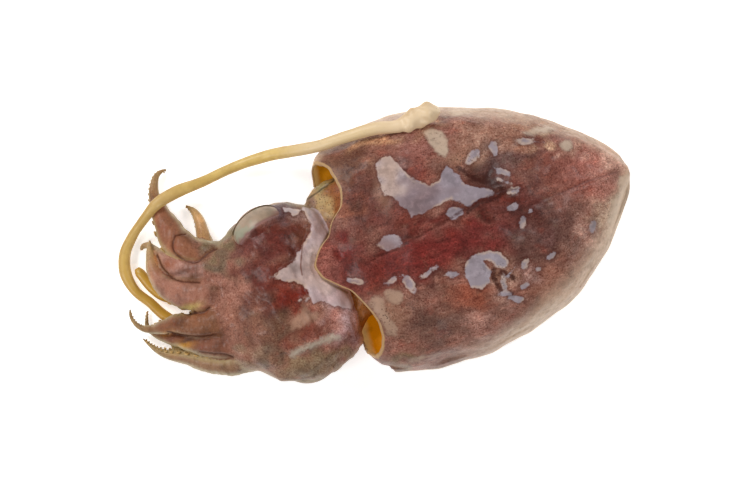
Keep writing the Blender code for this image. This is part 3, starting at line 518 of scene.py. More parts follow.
mantleMarks = {
    "ground": (138, 92, 78),
    "zones": (
        (2.5, -3.8, 5.5, 1.7, (106, 16, 14)),  # dark red along the middle of the back
        (-4.8, -0.8, 2.6, 2.6, (100, 12, 6)),
        (11.5, -3.6, 6.4, 2.0, (110, 26, 26)),
        (3.0, 3.4, 3.2, 1.8, (104, 44, 36)),
        (7.5, 7.6, 1.9, 1.6, (128, 56, 44)),
        (16.4, 3.5, 2.2, 1.2, (66, 26, 18)),
        (17.8, 0.4, 2.4, 0.8, (112, 28, 8)),
        (17.4, 2.6, 1.8, 1.1, (44, 6, 2)),
        (22.0, -5.4, 3.6, 3.4, (84, 52, 46)),  # purple-grey towards the tail
        (21.0, -1.4, 2.4, 2.0, (100, 38, 32)),
        (30.5, 0.4, 3.6, 3.0, (160, 92, 78)),
        (32.2, -3.2, 2.0, 2.4, (188, 128, 112)),
        (31.6, -6.6, 1.6, 2.0, (206, 176, 150)),
        (5.3, 1.0, 1.8, 0.8, (96, 22, 12)),
        (8.6, 0.3, 2.6, 0.6, (96, 24, 20)),
        (17.6, 7.6, 1.8, 1.3, (196, 150, 128)),
        (26.0, 2.4, 2.4, 1.6, (116, 56, 42)),
        (-0.5, 10.4, 2.6, 2.4, (98, 58, 38)),  # olive behind the rim
        (0.2, 6.6, 2.0, 2.4, (88, 44, 36)),
        (10.5, 10.8, 2.6, 1.4, (140, 90, 80)),
        (16.8, 9.6, 2.6, 1.5, (152, 110, 92)),
        (20.5, 5.2, 3.0, 1.6, (96, 64, 60)),
        (24.5, 8.6, 4.0, 1.8, (160, 112, 90)),
        (5.5, -13.4, 3.4, 2.2, (110, 76, 64)),  # olive brown on the left flank
        (11.0, -11.4, 3.4, 1.3, (142, 72, 50)),
        (14.0, -13.6, 4.0, 1.6, (146, 98, 82)),
        (22.0, -12.6, 4.0, 1.8, (160, 106, 86)),
        (-1.0, -5.4, 2.4, 1.4, (110, 44, 30)),
        (0.4, -10.4, 1.4, 2.2, (150, 108, 88)),
        (25.8, 9.2, 2.0, 0.7, (150, 98, 64)),
        (26.3, 6.5, 1.2, 0.6, (200, 160, 130)),
        (33.8, 0.9, 1.5, 1.8, (236, 186, 164)),
        (-1.5, -16.6, 1.4, 0.7, (112, 86, 58)),
        (14.6, -11.2, 1.3, 1.7, (200, 156, 138)),
        (9.6, -15.0, 1.3, 1.4, (184, 132, 116)),
        (3.4, 13.2, 2.2, 0.9, (200, 150, 112)),
        (3.9, -0.3, 1.3, 0.8, (66, 20, 18)),
        (27.7, -8.2, 1.1, 1.3, (204, 156, 138)),
        (5.7, -7.1, 1.2, 0.8, (70, 28, 24)),
        (29.5, 3.3, 1.0, 0.8, (200, 152, 130)),
        (-6.6, -2.6, 0.9, 1.3, (150, 84, 74)),
        (-7.6, -0.8, 0.8, 1.5, (154, 92, 80)),
        (-4.0, 0.2, 1.2, 1.2, (108, 8, 8)),
        (-1.4, 5.3, 1.4, 0.8, (148, 86, 60)),
        (25.2, -9.4, 1.1, 1.1, (166, 122, 106)),
        (16.0, -0.4, 1.2, 0.7, (70, 8, 6)),
        (18.5, -11.3, 1.2, 1.1, (192, 146, 134)),
        (22.1, -6.5, 1.2, 1.0, (142, 98, 92)),
        (-1.1, 9.2, 1.2, 1.2, (112, 60, 30)),
        (12.2, 12.8, 1.5, 0.8, (194, 152, 120)),
    ),
    "speckles": ((3.0, 6.0, 0.9, 2.4), (14.6, 7.2, 1.7, 1.2), (16.4, 6.0, 1.2, 0.8),
                 (15.4, -9.8, 1.8, 1.8), (-1.6, -10.2, 1.3, 2.4), (-2.4, 10.2, 0.9, 1.6)),
    "streaks": (
        ((14.0, 5.9), (14.8, 4.8), (15.8, 3.7), (17.3, 2.9), (18.7, 2.0), (18.6, 1.0)),
        ((18.6, 0.9), (17.6, 0.5), (15.3, 0.6), (13.3, 0.0)),
        ((16.4, 3.4), (17.6, 3.9), (18.4, 4.6)),
        ((15.4, -6.8), (15.6, -7.6)),
        ((14.2, -8.6), (13.9, -9.6), (14.3, -11.7), (15.4, -12.7)),
        ((15.2, -9.4), (16.4, -10.6)),
    ),
    "paleGround": (158, 144, 150),
    "paleZones": (
        (-3.2, -4.3, 1.5, 0.8, (124, 96, 96)),
        (5.6, 4.8, 1.2, 1.2, (128, 112, 122)),
        (0.2, -6.6, 2.0, 1.0, (132, 106, 108)),
        (4.9, 8.2, 2.2, 3.0, (186, 157, 141)),
        (8.3, 3.2, 2.2, 1.8, (124, 100, 102)),
        (13.5, 3.6, 3.0, 2.5, (146, 134, 142)),
        (2.0, -0.9, 1.5, 1.2, (140, 112, 110)),
        (14.0, -8.2, 3.0, 2.5, (156, 146, 154)),
    ),
    "paleOutlines": (
        ((3.3, 10.1), (4.4, 10.5), (5.6, 10.4), (6.3, 9.0), (7.1, 7.4), (8.0, 6.1), (9.5, 4.95),
         (10.8, 5.2), (11.8, 6.1), (12.5, 6.8), (13.4, 5.4), (14.3, 3.5), (16.3, 2.3), (17.9, 1.3),
         (17.1, 0.8), (15.3, 1.1), (13.7, 0.4), (12.9, 1.5), (11.5, 2.2), (9.5, 2.0), (7.6, 1.6),
         (5.8, 1.7), (5.3, 3.0), (4.3, 4.8), (3.3, 5.6), (3.2, 7.7)),
        ((11.3, -6.3), (12.6, -5.9), (14.5, -6.1), (15.5, -6.5), (16.6, -8.1), (15.8, -9.05), (14.7, -8.4),
         (14.1, -7.4), (13.4, -7.2), (13.7, -8.9), (13.2, -10.2), (11.8, -10.7), (10.6, -9.95),
         (10.3, -8.4), (10.6, -7.05)),
    ),
    "paleOvals": (
        (2.0, -0.85, 1.65, 1.0, -10), (11.6, 0.3, 1.2, 0.85, 0), (16.3, 6.9, 1.2, 0.7, 40),
        (19.4, 7.0, 0.9, 0.55, 80), (19.5, 3.7, 1.0, 0.45, -35), (19.2, 2.4, 0.8, 0.25, -35),
        (20.1, 0.7, 0.8, 0.5, 0), (19.3, -1.35, 0.7, 0.45, 0), (20.0, -3.8, 0.95, 0.5, 80),
        (15.0, -11.0, 1.4, 0.35, 80), (14.8, -12.3, 0.9, 0.4, -20), (18.5, -9.3, 0.8, 0.45, 50),
        (17.7, -12.0, 0.75, 0.45, 10), (15.8, -13.3, 1.0, 0.4, -30), (22.3, -9.3, 0.7, 0.3, 20),
        (16.2, -9.8, 0.9, 0.2, 30), (2.7, -6.9, 1.4, 0.65, 105), (0.4, -5.8, 0.9, 0.3, 15),
        (5.7, -6.3, 1.4, 0.35, 20), (8.8, -7.6, 1.2, 0.35, -15), (-4.1, -4.4, 1.2, 0.35, -25),
        (24.0, 6.6, 1.6, 0.4, -25), (29.0, -7.3, 1.1, 0.5, 70), (20.2, -10.4, 0.5, 0.25, 10),
        (21.5, -2.6, 0.35, 0.25, 0),
    ),
    "beigeOutlines": (
        ((10.95, 12.0), (12.1, 12.3), (13.3, 11.4), (13.7, 10.05), (13.4, 8.7), (12.7, 7.95), (11.8, 8.5),
         (11.2, 10.2)),
        ((-3.4, -7.8), (-2.7, -7.2), (-1.8, -7.2), (-1.3, -7.6), (-1.3, -8.3), (-1.5, -9.1), (-1.4, -9.9),
         (-1.3, -10.9), (-0.8, -11.5), (-0.7, -12.3), (-1.1, -13.0), (-1.8, -12.9), (-2.3, -12.5),
         (-2.3, -11.6), (-2.5, -10.5), (-2.7, -9.5), (-3.3, -8.5)),
        ((-0.9, -7.0), (-0.3, -6.8), (0.5, -7.1), (1.3, -7.5), (1.4, -8.1), (1.1, -8.8), (0.3, -9.1),
         (-0.4, -8.7), (-0.8, -8.0), (-1.0, -7.5)),
        ((34.7, -2.0), (36.6, -2.1), (35.6, -4.6), (34.2, -6.8), (32.2, -9.0), (31.4, -7.2), (32.6, -5.1),
         (33.9, -3.6)),
    ),
    "beigeOvals": (
        (29.0, 4.3, 0.8, 0.75, 0), (26.2, 7.5, 1.7, 0.5, -5), (1.5, -17.2, 1.2, 0.22, -5),
        (16.4, 13.2, 1.6, 0.4, -10),
    ),
}


def markMantle(grid, given):
    # what the skin's finish reads at each point: tones, shares, and distances in mm
    points = grid.reshape(-1, 3)
    flat = {k: v.ravel() for k, v in given.items()}
    low = 3.0 * np.maximum(0, 4.5 - points[:, 2])
    streak = np.min([lineDistance(points[:, :2], line) for line in mantleMarks["streaks"]], axis=0)
    return {
        "tone": zoneTones(points, mantleMarks["ground"], mantleMarks["zones"]),
        "nearRim": 1 - rise(points[:, 0], 2.0, 4.5),
        "paleEdge": patchDistance(points, mantleMarks["paleOutlines"], mantleMarks["paleOvals"]) + low,
        "beigeEdge": patchDistance(points, mantleMarks["beigeOutlines"], mantleMarks["beigeOvals"]),
        "creaseShadeEdge": lineDistance(points[:, :2], mantle["crease"]) + low,
        "seamShadeEdge": lineDistance(points[:, :2], mantle["seam"]) + low,
        "paleTone": zoneTones(points, mantleMarks["paleGround"], mantleMarks["paleZones"]),
        "speckled": zoneShare(points, mantleMarks["speckles"]),
        "streakEdge": streak + low,
        "upper": rise(points[:, 1], -4.0, 4.0),
        **flat,
    }


# head, neck, funnel, lips and arms, fused into one skin

head = {
    "x": (-23.7, -22.6, -20.5, -18.0, -15.5, -13.0, -10.5, -8.7, -7.2, -6.2, -5.5, -5.2),
    "right": (4.2, 5.3, 6.4, 7.9, 8.9, 9.4, 9.2, 8.4, 7.4, 6.4, 5.2, 3.8),
    "left": (-9.6, -11.1, -12.2, -14.1, -15.1, -15.8, -15.5, -14.8, -14.0, -13.2, -12.4, -11.2),
    "top": (6.6, 7.8, 9.2, 10.5, 11.2, 11.2, 10.0, 8.6, 8.2, 7.6, 6.6, 5.2),
    "side": (3.6, 3.9, 4.3, 4.6, 4.7, 4.7, 4.5, 4.3, 4.2, 4.2, 4.3, 4.4),
    "belly": (1.4, 0.4, -0.3, -0.4, -0.4, -0.4, -0.3, 0.0, 0.7, 1.6, 2.7, 3.6),
    "rings": 110,
    "around": 150,
    "voxel": 0.19,
    "web": {"x": -23.0, "reach": 1.6, "share": 0.55, "times": 22},  # smoothed skin between the arms
}
neck = {
    "x": (-9.5, -7.4, -5.4, -3.5, 0.0, 4.2),
    "right": (6.2, 7.9, 9.5, 10.0, 10.2, 10.0),
    "left": (-9.0, -10.6, -11.0, -9.6, -9.8, -10.0),
    "top": (5.0, 5.3, 6.2, 7.6, 9.2, 9.8),
    "side": (3.8, 4.0, 4.2, 4.4, 4.6, 4.8),
    "belly": (1.6, 1.6, 1.6, 1.6, 1.6, 1.6),
    "rings": 60,
    "around": 110,
}
funnel = {
    "x": (-16.6, -15.5, -13.0, -10.0, -7.5, -5.4),
    "half": (1.35, 1.6, 2.1, 3.0, 4.0, 4.6),
    "top": (2.7, 2.9, 3.2, 3.4, 3.3, 3.0),
    "y": -1.8,
    "wall": 0.5,
    "bottom": 0.12,
    "bore": 3.4,
    "boreRings": 16,
    "rings": 50,
    "around": 48,
}
mouth = {
    "middle": (-23.3, -2.0, 3.2),
    "half": (1.6, 1.6, 1.5),
    "profile": (  # shares back and out: root, outer fold, groove, inner fold and the cleft of the beak
        (2.2, 0.9), (0.0, 1.0), (-0.55, 0.95), (-0.75, 0.74), (-0.58, 0.64), (-0.9, 0.5), (-1.0, 0.3),
        (-0.7, 0.14),
    ),
    "pleats": 11,
    "rings": 40,
    "around": 40,
}
eyes = {
    "eyeRight": {
        "node": "eye_right",
        "middle": (-14.5, 6.45, 6.1),
        "half": (3.8, 2.9, 3.5),
        "turn": 19.0,
        "side": 1,
        "opens": (52.0, 0.43),  # the lid's opening: degrees up from level, and half its height
        "length": 0.95,  # half the opening's length, and the power of its rounded oblong
        "power": 4.0,
        "gather": (1.9, 0.0, 0.3),  # how far round it the skin is drawn in, and between which facings
    },
    "eyeLeft": {
        "node": "eye_left",
        "middle": (-13.6, -12.6, 4.0),
        "half": (3.8, 3.2, 3.1),
        "turn": -8.0,
        "side": -1,
        "opens": (-14.0, 0.42),
        "length": 0.7,
        "power": 2.4,
        "gather": (1.45, 0.35, 0.75),
    },
}
eyeMesh = {"rings": 62, "around": 72}
lid = {  # in radii of the eyeball
    "least": 1.02,  # how far out the skin over it lies at least, and where it is drawn in
    "drawn": 1.03,
    "under": 0.86,  # where the skin lies that the eyeball hides
    "eases": (1.3, 1.55),
    "reach": 1.7,
}
arms = {
    "arm_right_1": {"tone": (160, 108, 88), "oral": (-0.45, -0.75, -0.6), "path": (
        (-20.6, 0.3, 5.5, 4.3), (-24.5, 0.15, 5.7, 4.4), (-27.0, 1.15, 4.9, 4.3), (-28.9, 2.65, 4.0, 3.2),
        (-29.9, 4.5, 3.2, 2.2), (-30.1, 6.3, 2.7, 1.65), (-29.9, 7.8, 2.4, 1.15), (-29.5, 9.0, 2.2, 0.7),
        (-29.3, 9.8, 2.1, 0.3))},
    "arm_left_1": {"tone": (130, 84, 58), "oral": (0.0, 0.8, -0.75), "path": (
        (-20.6, -3.8, 5.5, 4.2), (-24.6, -3.6, 5.6, 4.0), (-27.0, -3.1, 4.8, 3.5), (-29.2, -2.4, 3.9, 2.7),
        (-31.0, -2.1, 3.2, 2.0), (-32.8, -2.05, 2.5, 1.3), (-34.0, -1.5, 2.0, 0.9), (-34.7, -0.5, 1.7, 0.65),
        (-34.9, 0.6, 1.6, 0.5), (-34.75, 1.6, 1.6, 0.3))},
    "arm_right_2": {"tone": (178, 130, 114), "oral": (-0.7, -0.6, -0.6), "path": (
        (-19.8, 3.2, 4.6, 3.6), (-24.3, 3.7, 4.4, 3.3), (-26.3, 4.5, 3.8, 3.2), (-27.7, 5.85, 3.1, 2.8),
        (-28.6, 7.2, 2.3, 1.9), (-29.2, 8.5, 1.15, 1.2), (-29.9, 9.2, 0.75, 0.9), (-30.6, 9.15, 0.65, 0.7),
        (-30.85, 8.65, 0.6, 0.35))},
    "arm_left_2": {"tone": (128, 80, 60), "oral": (-0.3, -0.2, -1.0), "path": (
        (-20.0, -7.2, 4.8, 4.1), (-24.5, -6.9, 4.4, 3.8), (-27.0, -5.95, 3.6, 3.0), (-29.0, -4.9, 2.8, 2.3),
        (-31.0, -3.8, 1.8, 1.6), (-32.5, -2.8, 1.1, 1.1), (-33.25, -1.6, 0.8, 0.75), (-33.0, -0.4, 0.65, 0.5),
        (-32.5, 0.7, 0.6, 0.3))},
    "arm_right_3": {"tone": (144, 92, 66), "oral": (-1.0, -0.25, -0.25), "path": (
        (-19.6, 4.2, 3.9, 3.2), (-22.6, 5.5, 3.8, 3.7), (-25.0, 6.9, 3.1, 4.5), (-26.45, 8.95, 2.5, 4.3),
        (-26.7, 11.0, 2.1, 3.5), (-26.8, 13.0, 1.7, 2.6), (-26.95, 15.0, 1.3, 1.8), (-26.5, 16.7, 1.05, 1.25),
        (-25.6, 17.9, 0.95, 0.85), (-24.8, 18.2, 0.95, 0.65), (-23.9, 18.15, 0.95, 0.4))},
    "arm_left_3": {"tone": (150, 112, 84), "cup": 1.35, "oral": (0.25, 0.85, 0.5), "path": (
        (-19.6, -9.9, 3.8, 3.6), (-23.5, -9.85, 3.1, 3.5), (-26.0, -8.9, 2.5, 3.1), (-28.5, -7.6, 1.95, 2.5),
        (-30.5, -6.5, 1.5, 1.8), (-32.2, -5.6, 1.1, 1.2), (-33.4, -4.5, 0.85, 0.75),
        (-34.4, -2.9, 0.75, 0.3))},
    "arm_right_4": {"tone": (194, 148, 100), "oral": (-0.4, -0.1, -0.9), "path": (
        (-20.4, 3.0, 1.9, 2.2), (-21.7, 5.0, 1.45, 2.2), (-22.1, 7.2, 1.25, 2.1), (-22.05, 9.0, 1.15, 1.85),
        (-22.1, 10.5, 0.95, 1.5), (-22.4, 11.8, 0.75, 1.05), (-23.2, 12.9, 0.6, 0.5))},
    "arm_left_4": {"tone": (164, 112, 40), "oral": (-0.1, 0.5, 0.9), "path": (
        (-20.6, -6.2, 2.0, 2.7), (-23.6, -6.6, 1.7, 2.5), (-26.0, -6.5, 1.35, 2.1), (-28.3, -6.0, 1.1, 1.8),
        (-30.0, -5.4, 0.9, 1.4), (-31.2, -4.5, 0.75, 0.35))},
}
armZones = (  # stains on the arms, as the tone zones, and painted shade in the grooves under and between arms
    (-29.8, -5.6, 1.6, 0.7, (204, 142, 36)),
    (-31.0, -3.2, 0.9, 0.35, (190, 114, 30)),
    (-29.2, 6.9, 0.4, 1.2, (196, 128, 66)),
    # painted shade in the groove under the arm above
    (-29.0, -2.3, 1.2, 0.6, (102, 60, 36)),
    # painted shade in the groove between two arms
    (-26.0, 4.2, 2.0, 0.5, (112, 72, 58)),
    (-27.0, -0.8, 1.6, 0.5, (204, 178, 108)),
    (-27.9, -0.9, 1.0, 0.5, (132, 106, 48)),
    # painted shade in the groove between two arms
    (-25.1, 3.0, 1.2, 0.7, (104, 66, 46)),
    (-27.8, 5.8, 1.4, 0.8, (150, 88, 62)),
    # painted shade in the groove under the arm above
    (-28.0, -4.9, 2.2, 0.3, (88, 48, 28)),
)
creases = (  # where one arm's back meets the next, in plan
    ((-29.0, 7.6), (-28.9, 5.5), (-28.2, 4.2), (-27.1, 3.2), (-24.5, 2.2)),
    ((-25.7, 9.3), (-26.7, 8.0), (-26.5, 6.7), (-25.5, 5.5), (-24.2, 4.8), (-23.1, 5.1), (-22.0, 5.6),
     (-21.0, 5.9)),
    ((-25.7, 9.3), (-24.2, 9.1)),
    ((-27.9, -1.0), (-26.4, -1.8), (-25.2, -2.0), (-24.3, -1.7)),
    ((-30.8, -3.1), (-29.4, -4.0), (-27.7, -4.8), (-25.8, -5.4), (-24.6, -5.5)),
    ((-27.5, -7.0), (-25.8, -7.9), (-24.4, -8.3), (-23.4, -9.2)),
)
limb = {
    "depth": 0.95,  # of its width
    "oralShare": 0.42,  # how much of that depth is on the sucker side
    "lowest": 0.12,
    "rings": 120,
    "around": 28,
    "ridge": 0.22,  # height of the thin ridge along each margin, in half widths
    "wobble": 0.05,
    "seed": 20,
}


def alongPath(path, count):
    # count points and widths at even lengths along a smooth line through the path
    path = np.array(path, float)
    chord = np.concatenate([[0], np.cumsum(np.linalg.norm(np.diff(path[:, :3], axis=0), axis=1))])
    slope = np.gradient(path, chord, axis=0)
    fine = np.linspace(0, chord[-1], 900)
    i = np.clip(np.searchsorted(chord, fine, side="right") - 1, 0, len(chord) - 2)
    span = (chord[i + 1] - chord[i])[:, None]
    t = (fine[:, None] - chord[i][:, None]) / span
    line = path[i] * (1 + 2 * t) * (1 - t) ** 2 + path[i + 1] * t * t * (3 - 2 * t)
    line = line + span * t * (1 - t) * (slope[i] * (1 - t) - slope[i + 1] * t)
    run = np.concatenate([[0], np.cumsum(np.linalg.norm(np.diff(line[:, :3], axis=0), axis=1))])
    at = np.linspace(0, run[-1], count)
    return np.stack([np.interp(at, run, line[:, c]) for c in range(4)], axis=1), at


def limbFrame(line, oral):
    # unit directions along a limb, to its sucker side, and across
    ahead = np.gradient(line[:, :3], axis=0)
    ahead /= np.linalg.norm(ahead, axis=1)[:, None]
    side = np.array(oral, float) - ahead * (ahead @ np.array(oral, float))[:, None]
    side /= np.linalg.norm(side, axis=1)[:, None]
    return ahead, side, np.cross(ahead, side)


def limbRings(path, oral, depth, rings, around, ridge=0.0, wobble=0.0, seed=1):
    # an oval swept along the path: rounder on its back, flatter on the sucker side, with a thin ridge
    # along each margin
    line, at = alongPath(path, rings)
    if wobble:
        sway = np.stack([lumps(line[:, :3], 3.0, seed + k) for k in range(3)], axis=1)
        line[:, :3] += wobble * sway * rise(at, 3, 6)[:, None]
    ahead, side, across = limbFrame(line, oral)
    angle = np.linspace(0, 2 * math.pi, around, endpoint=False)
    c, s = np.cos(angle), np.sin(angle)
    half = line[:, 3:] / 2
    flat = np.where(s > 0, 2 * depth * limb["oralShare"], 2 * depth * (1 - limb["oralShare"]))
    out = half * flat * s + ridge * half * bell(np.abs(c), 0.86, 0.16) * (s > 0)
    made = line[:, None, :3] + (half * c)[..., None] * across[:, None] + out[..., None] * side[:, None]
    made[..., 2] = np.maximum(made[..., 2], limb["lowest"])
    return made


def bodyRings(sizes):
    # sections of a body piece, closer together at its ends
    share = np.linspace(0, 1, sizes["rings"])
    share = 0.5 * share + 0.25 * (1 - np.cos(share * math.pi))
    x = sizes["x"][0] + (sizes["x"][-1] - sizes["x"][0]) * share
    angle = np.linspace(0, 2 * math.pi, sizes["around"], endpoint=False)
    return np.array([bodyPoints(np.full_like(angle, v), angle, sizes) for v in x])


def funnelRings():
    # a flattened cone, out along its bore and back along its outside
    angle = np.linspace(0, 2 * math.pi, funnel["around"], endpoint=False)

    def oval(x, wall):
        half = smoothThrough(funnel["x"], funnel["half"], x) - wall
        top = smoothThrough(funnel["x"], funnel["top"], x) - wall
        bottom = funnel["bottom"] + wall
        y = funnel["y"] + half * np.cos(angle)
        z = (top + bottom) / 2 + (top - bottom) / 2 * np.sin(angle)
        return np.stack([np.full_like(angle, x), y, z], axis=1)

    tip, root = funnel["x"][0], funnel["x"][-1]
    inner = [oval(x, funnel["wall"]) for x in np.linspace(tip + funnel["bore"], tip, funnel["boreRings"])]
    outer = [oval(x, 0.0) for x in np.linspace(tip, root, funnel["rings"])]
    return np.array(inner + outer)


def mouthRings():
    # the profile turned about x, with its outer fold lightly pleated
    back, reach = np.array(mouth["profile"]).T
    at = np.linspace(0, 1, mouth["rings"])
    along = np.linspace(0, 1, len(back))
    back, reach = np.interp(at, along, back)[:, None], np.interp(at, along, reach)[:, None]
    angle = np.linspace(0, 2 * math.pi, mouth["around"], endpoint=False)
    (x, y, z), (a, b, c) = mouth["middle"], mouth["half"]
    pleat = 1 + 0.05 * np.sin(angle * mouth["pleats"])[None] * (reach > 0.5)
    across = y + b * reach * np.cos(angle) * pleat
    up = z + c * reach * np.sin(angle) * pleat
    return np.stack([x + a * back + 0 * pleat, across, up], axis=-1)


def fused(parts, voxel):
    # closed overlapping surfaces as one skin, by voxels, in mm
    points, faces = joinParts(parts)
    mesh = bpy.data.meshes.new("fusing")
    mesh.from_pydata(points.tolist(), [], faces)
    holder = linked("fusing", mesh)
    remesh = holder.modifiers.new("Remesh", "REMESH")
    remesh.mode = "VOXEL"
    remesh.voxel_size = voxel
    bpy.context.view_layer.update()
    made = bpy.data.meshes.new_from_object(holder.evaluated_get(bpy.context.evaluated_depsgraph_get()))
    bpy.data.objects.remove(holder)
    points = np.zeros(len(made.vertices) * 3)
    made.vertices.foreach_get("co", points)
    edges = np.zeros(len(made.edges) * 2, int)
    made.edges.foreach_get("vertices", edges)
    quads = [list(f.vertices) for f in made.polygons]
    bpy.data.meshes.remove(made)
    return points.reshape(-1, 3), edges.reshape(-1, 2), quads


def smoothed(points, edges, share, times):
    # each point moves towards the mean of its neighbours by its share
    count = np.bincount(edges.ravel(), minlength=len(points))[:, None]
    for _ in range(times):
        total = np.zeros_like(points)
        for c in range(3):
            total[:, c] = np.bincount(edges[:, 0], points[edges[:, 1], c], len(points))
            total[:, c] += np.bincount(edges[:, 1], points[edges[:, 0], c], len(points))
        points = points + share * (total / np.maximum(count, 1) - points)
    return points


def pointNormals(points, quads):
    # mean of the normals of the faces round each point
    q = np.array(quads)
    across = np.cross(points[q[:, 2]] - points[q[:, 0]], points[q[:, 3]] - points[q[:, 1]])
    normal = np.stack([
        sum(np.bincount(q[:, k], across[:, c], len(points)) for k in range(4)) for c in range(3)
    ], axis=1)
    return normal / np.maximum(np.linalg.norm(normal, axis=1), 1e-9)[:, None]


def eyeCoordinates(points, eye):
    # how far out of the eyeball a point is, how far from the middle of the lid's opening, 1 at its edge
    # (a rounded oblong of the given power, seen straight on), how many degrees above that middle, and how
    # much it faces the way the lid opens
    turn = math.radians(eye["turn"])
    off = points - np.array(eye["middle"])
    u = (off[:, 0] * math.cos(turn) + off[:, 1] * math.sin(turn)) / eye["half"][0]
    v = (-off[:, 0] * math.sin(turn) + off[:, 1] * math.cos(turn)) / eye["half"][1] * eye["side"]
    w = off[:, 2] / eye["half"][2]
    far = np.sqrt(u * u + v * v + w * w)
    lift = np.degrees(np.arctan2(w, v))
    opens, reach = eye["opens"]
    above = (lift - opens + 180) % 360 - 180
    u, v, w = u / np.maximum(far, 1e-6), v / np.maximum(far, 1e-6), w / np.maximum(far, 1e-6)
    c, s = math.cos(math.radians(opens)), math.sin(math.radians(opens))
    power = eye["power"]
    ring = (np.abs(u / eye["length"]) ** power + np.abs((w * c - v * s) / reach) ** power) ** (1 / power)
    facing = v * c + w * s
    return far, ring + 2 * rise(-facing, -0.1, 0.1), above, facing, off


def nearestArm(points):
    # for each point: distance to the nearest arm's line in half widths, share along it, how far to its sucker
    # side in half widths, and the arm's number
    best = np.full(len(points), 99.0)
    share, oral = np.zeros(len(points)), np.zeros(len(points))
    which = np.zeros(len(points))
    for number, arm in enumerate(arms.values()):
        line, at = alongPath(arm["path"], 60)
        _, side, _ = limbFrame(line, arm["oral"])
        gap = np.full(len(points), 99.0)
        where = np.zeros(len(points), int)
        for k in range(len(line)):
            d = np.linalg.norm(points - line[k, :3], axis=1) / max(line[k, 3] / 2, 0.3)
            closer = d < gap
            gap[closer], where[closer] = d[closer], k
        mine = gap < best
        best[mine] = gap[mine]
        share[mine] = where[mine] / (len(line) - 1)
        lift = np.einsum("ij,ij->i", points - line[where, :3], side[where])
        oral[mine] = lift[mine] / np.maximum(line[where, 3] / 2, 0.3)[mine]
        which[mine] = number
    return best, share, oral, which


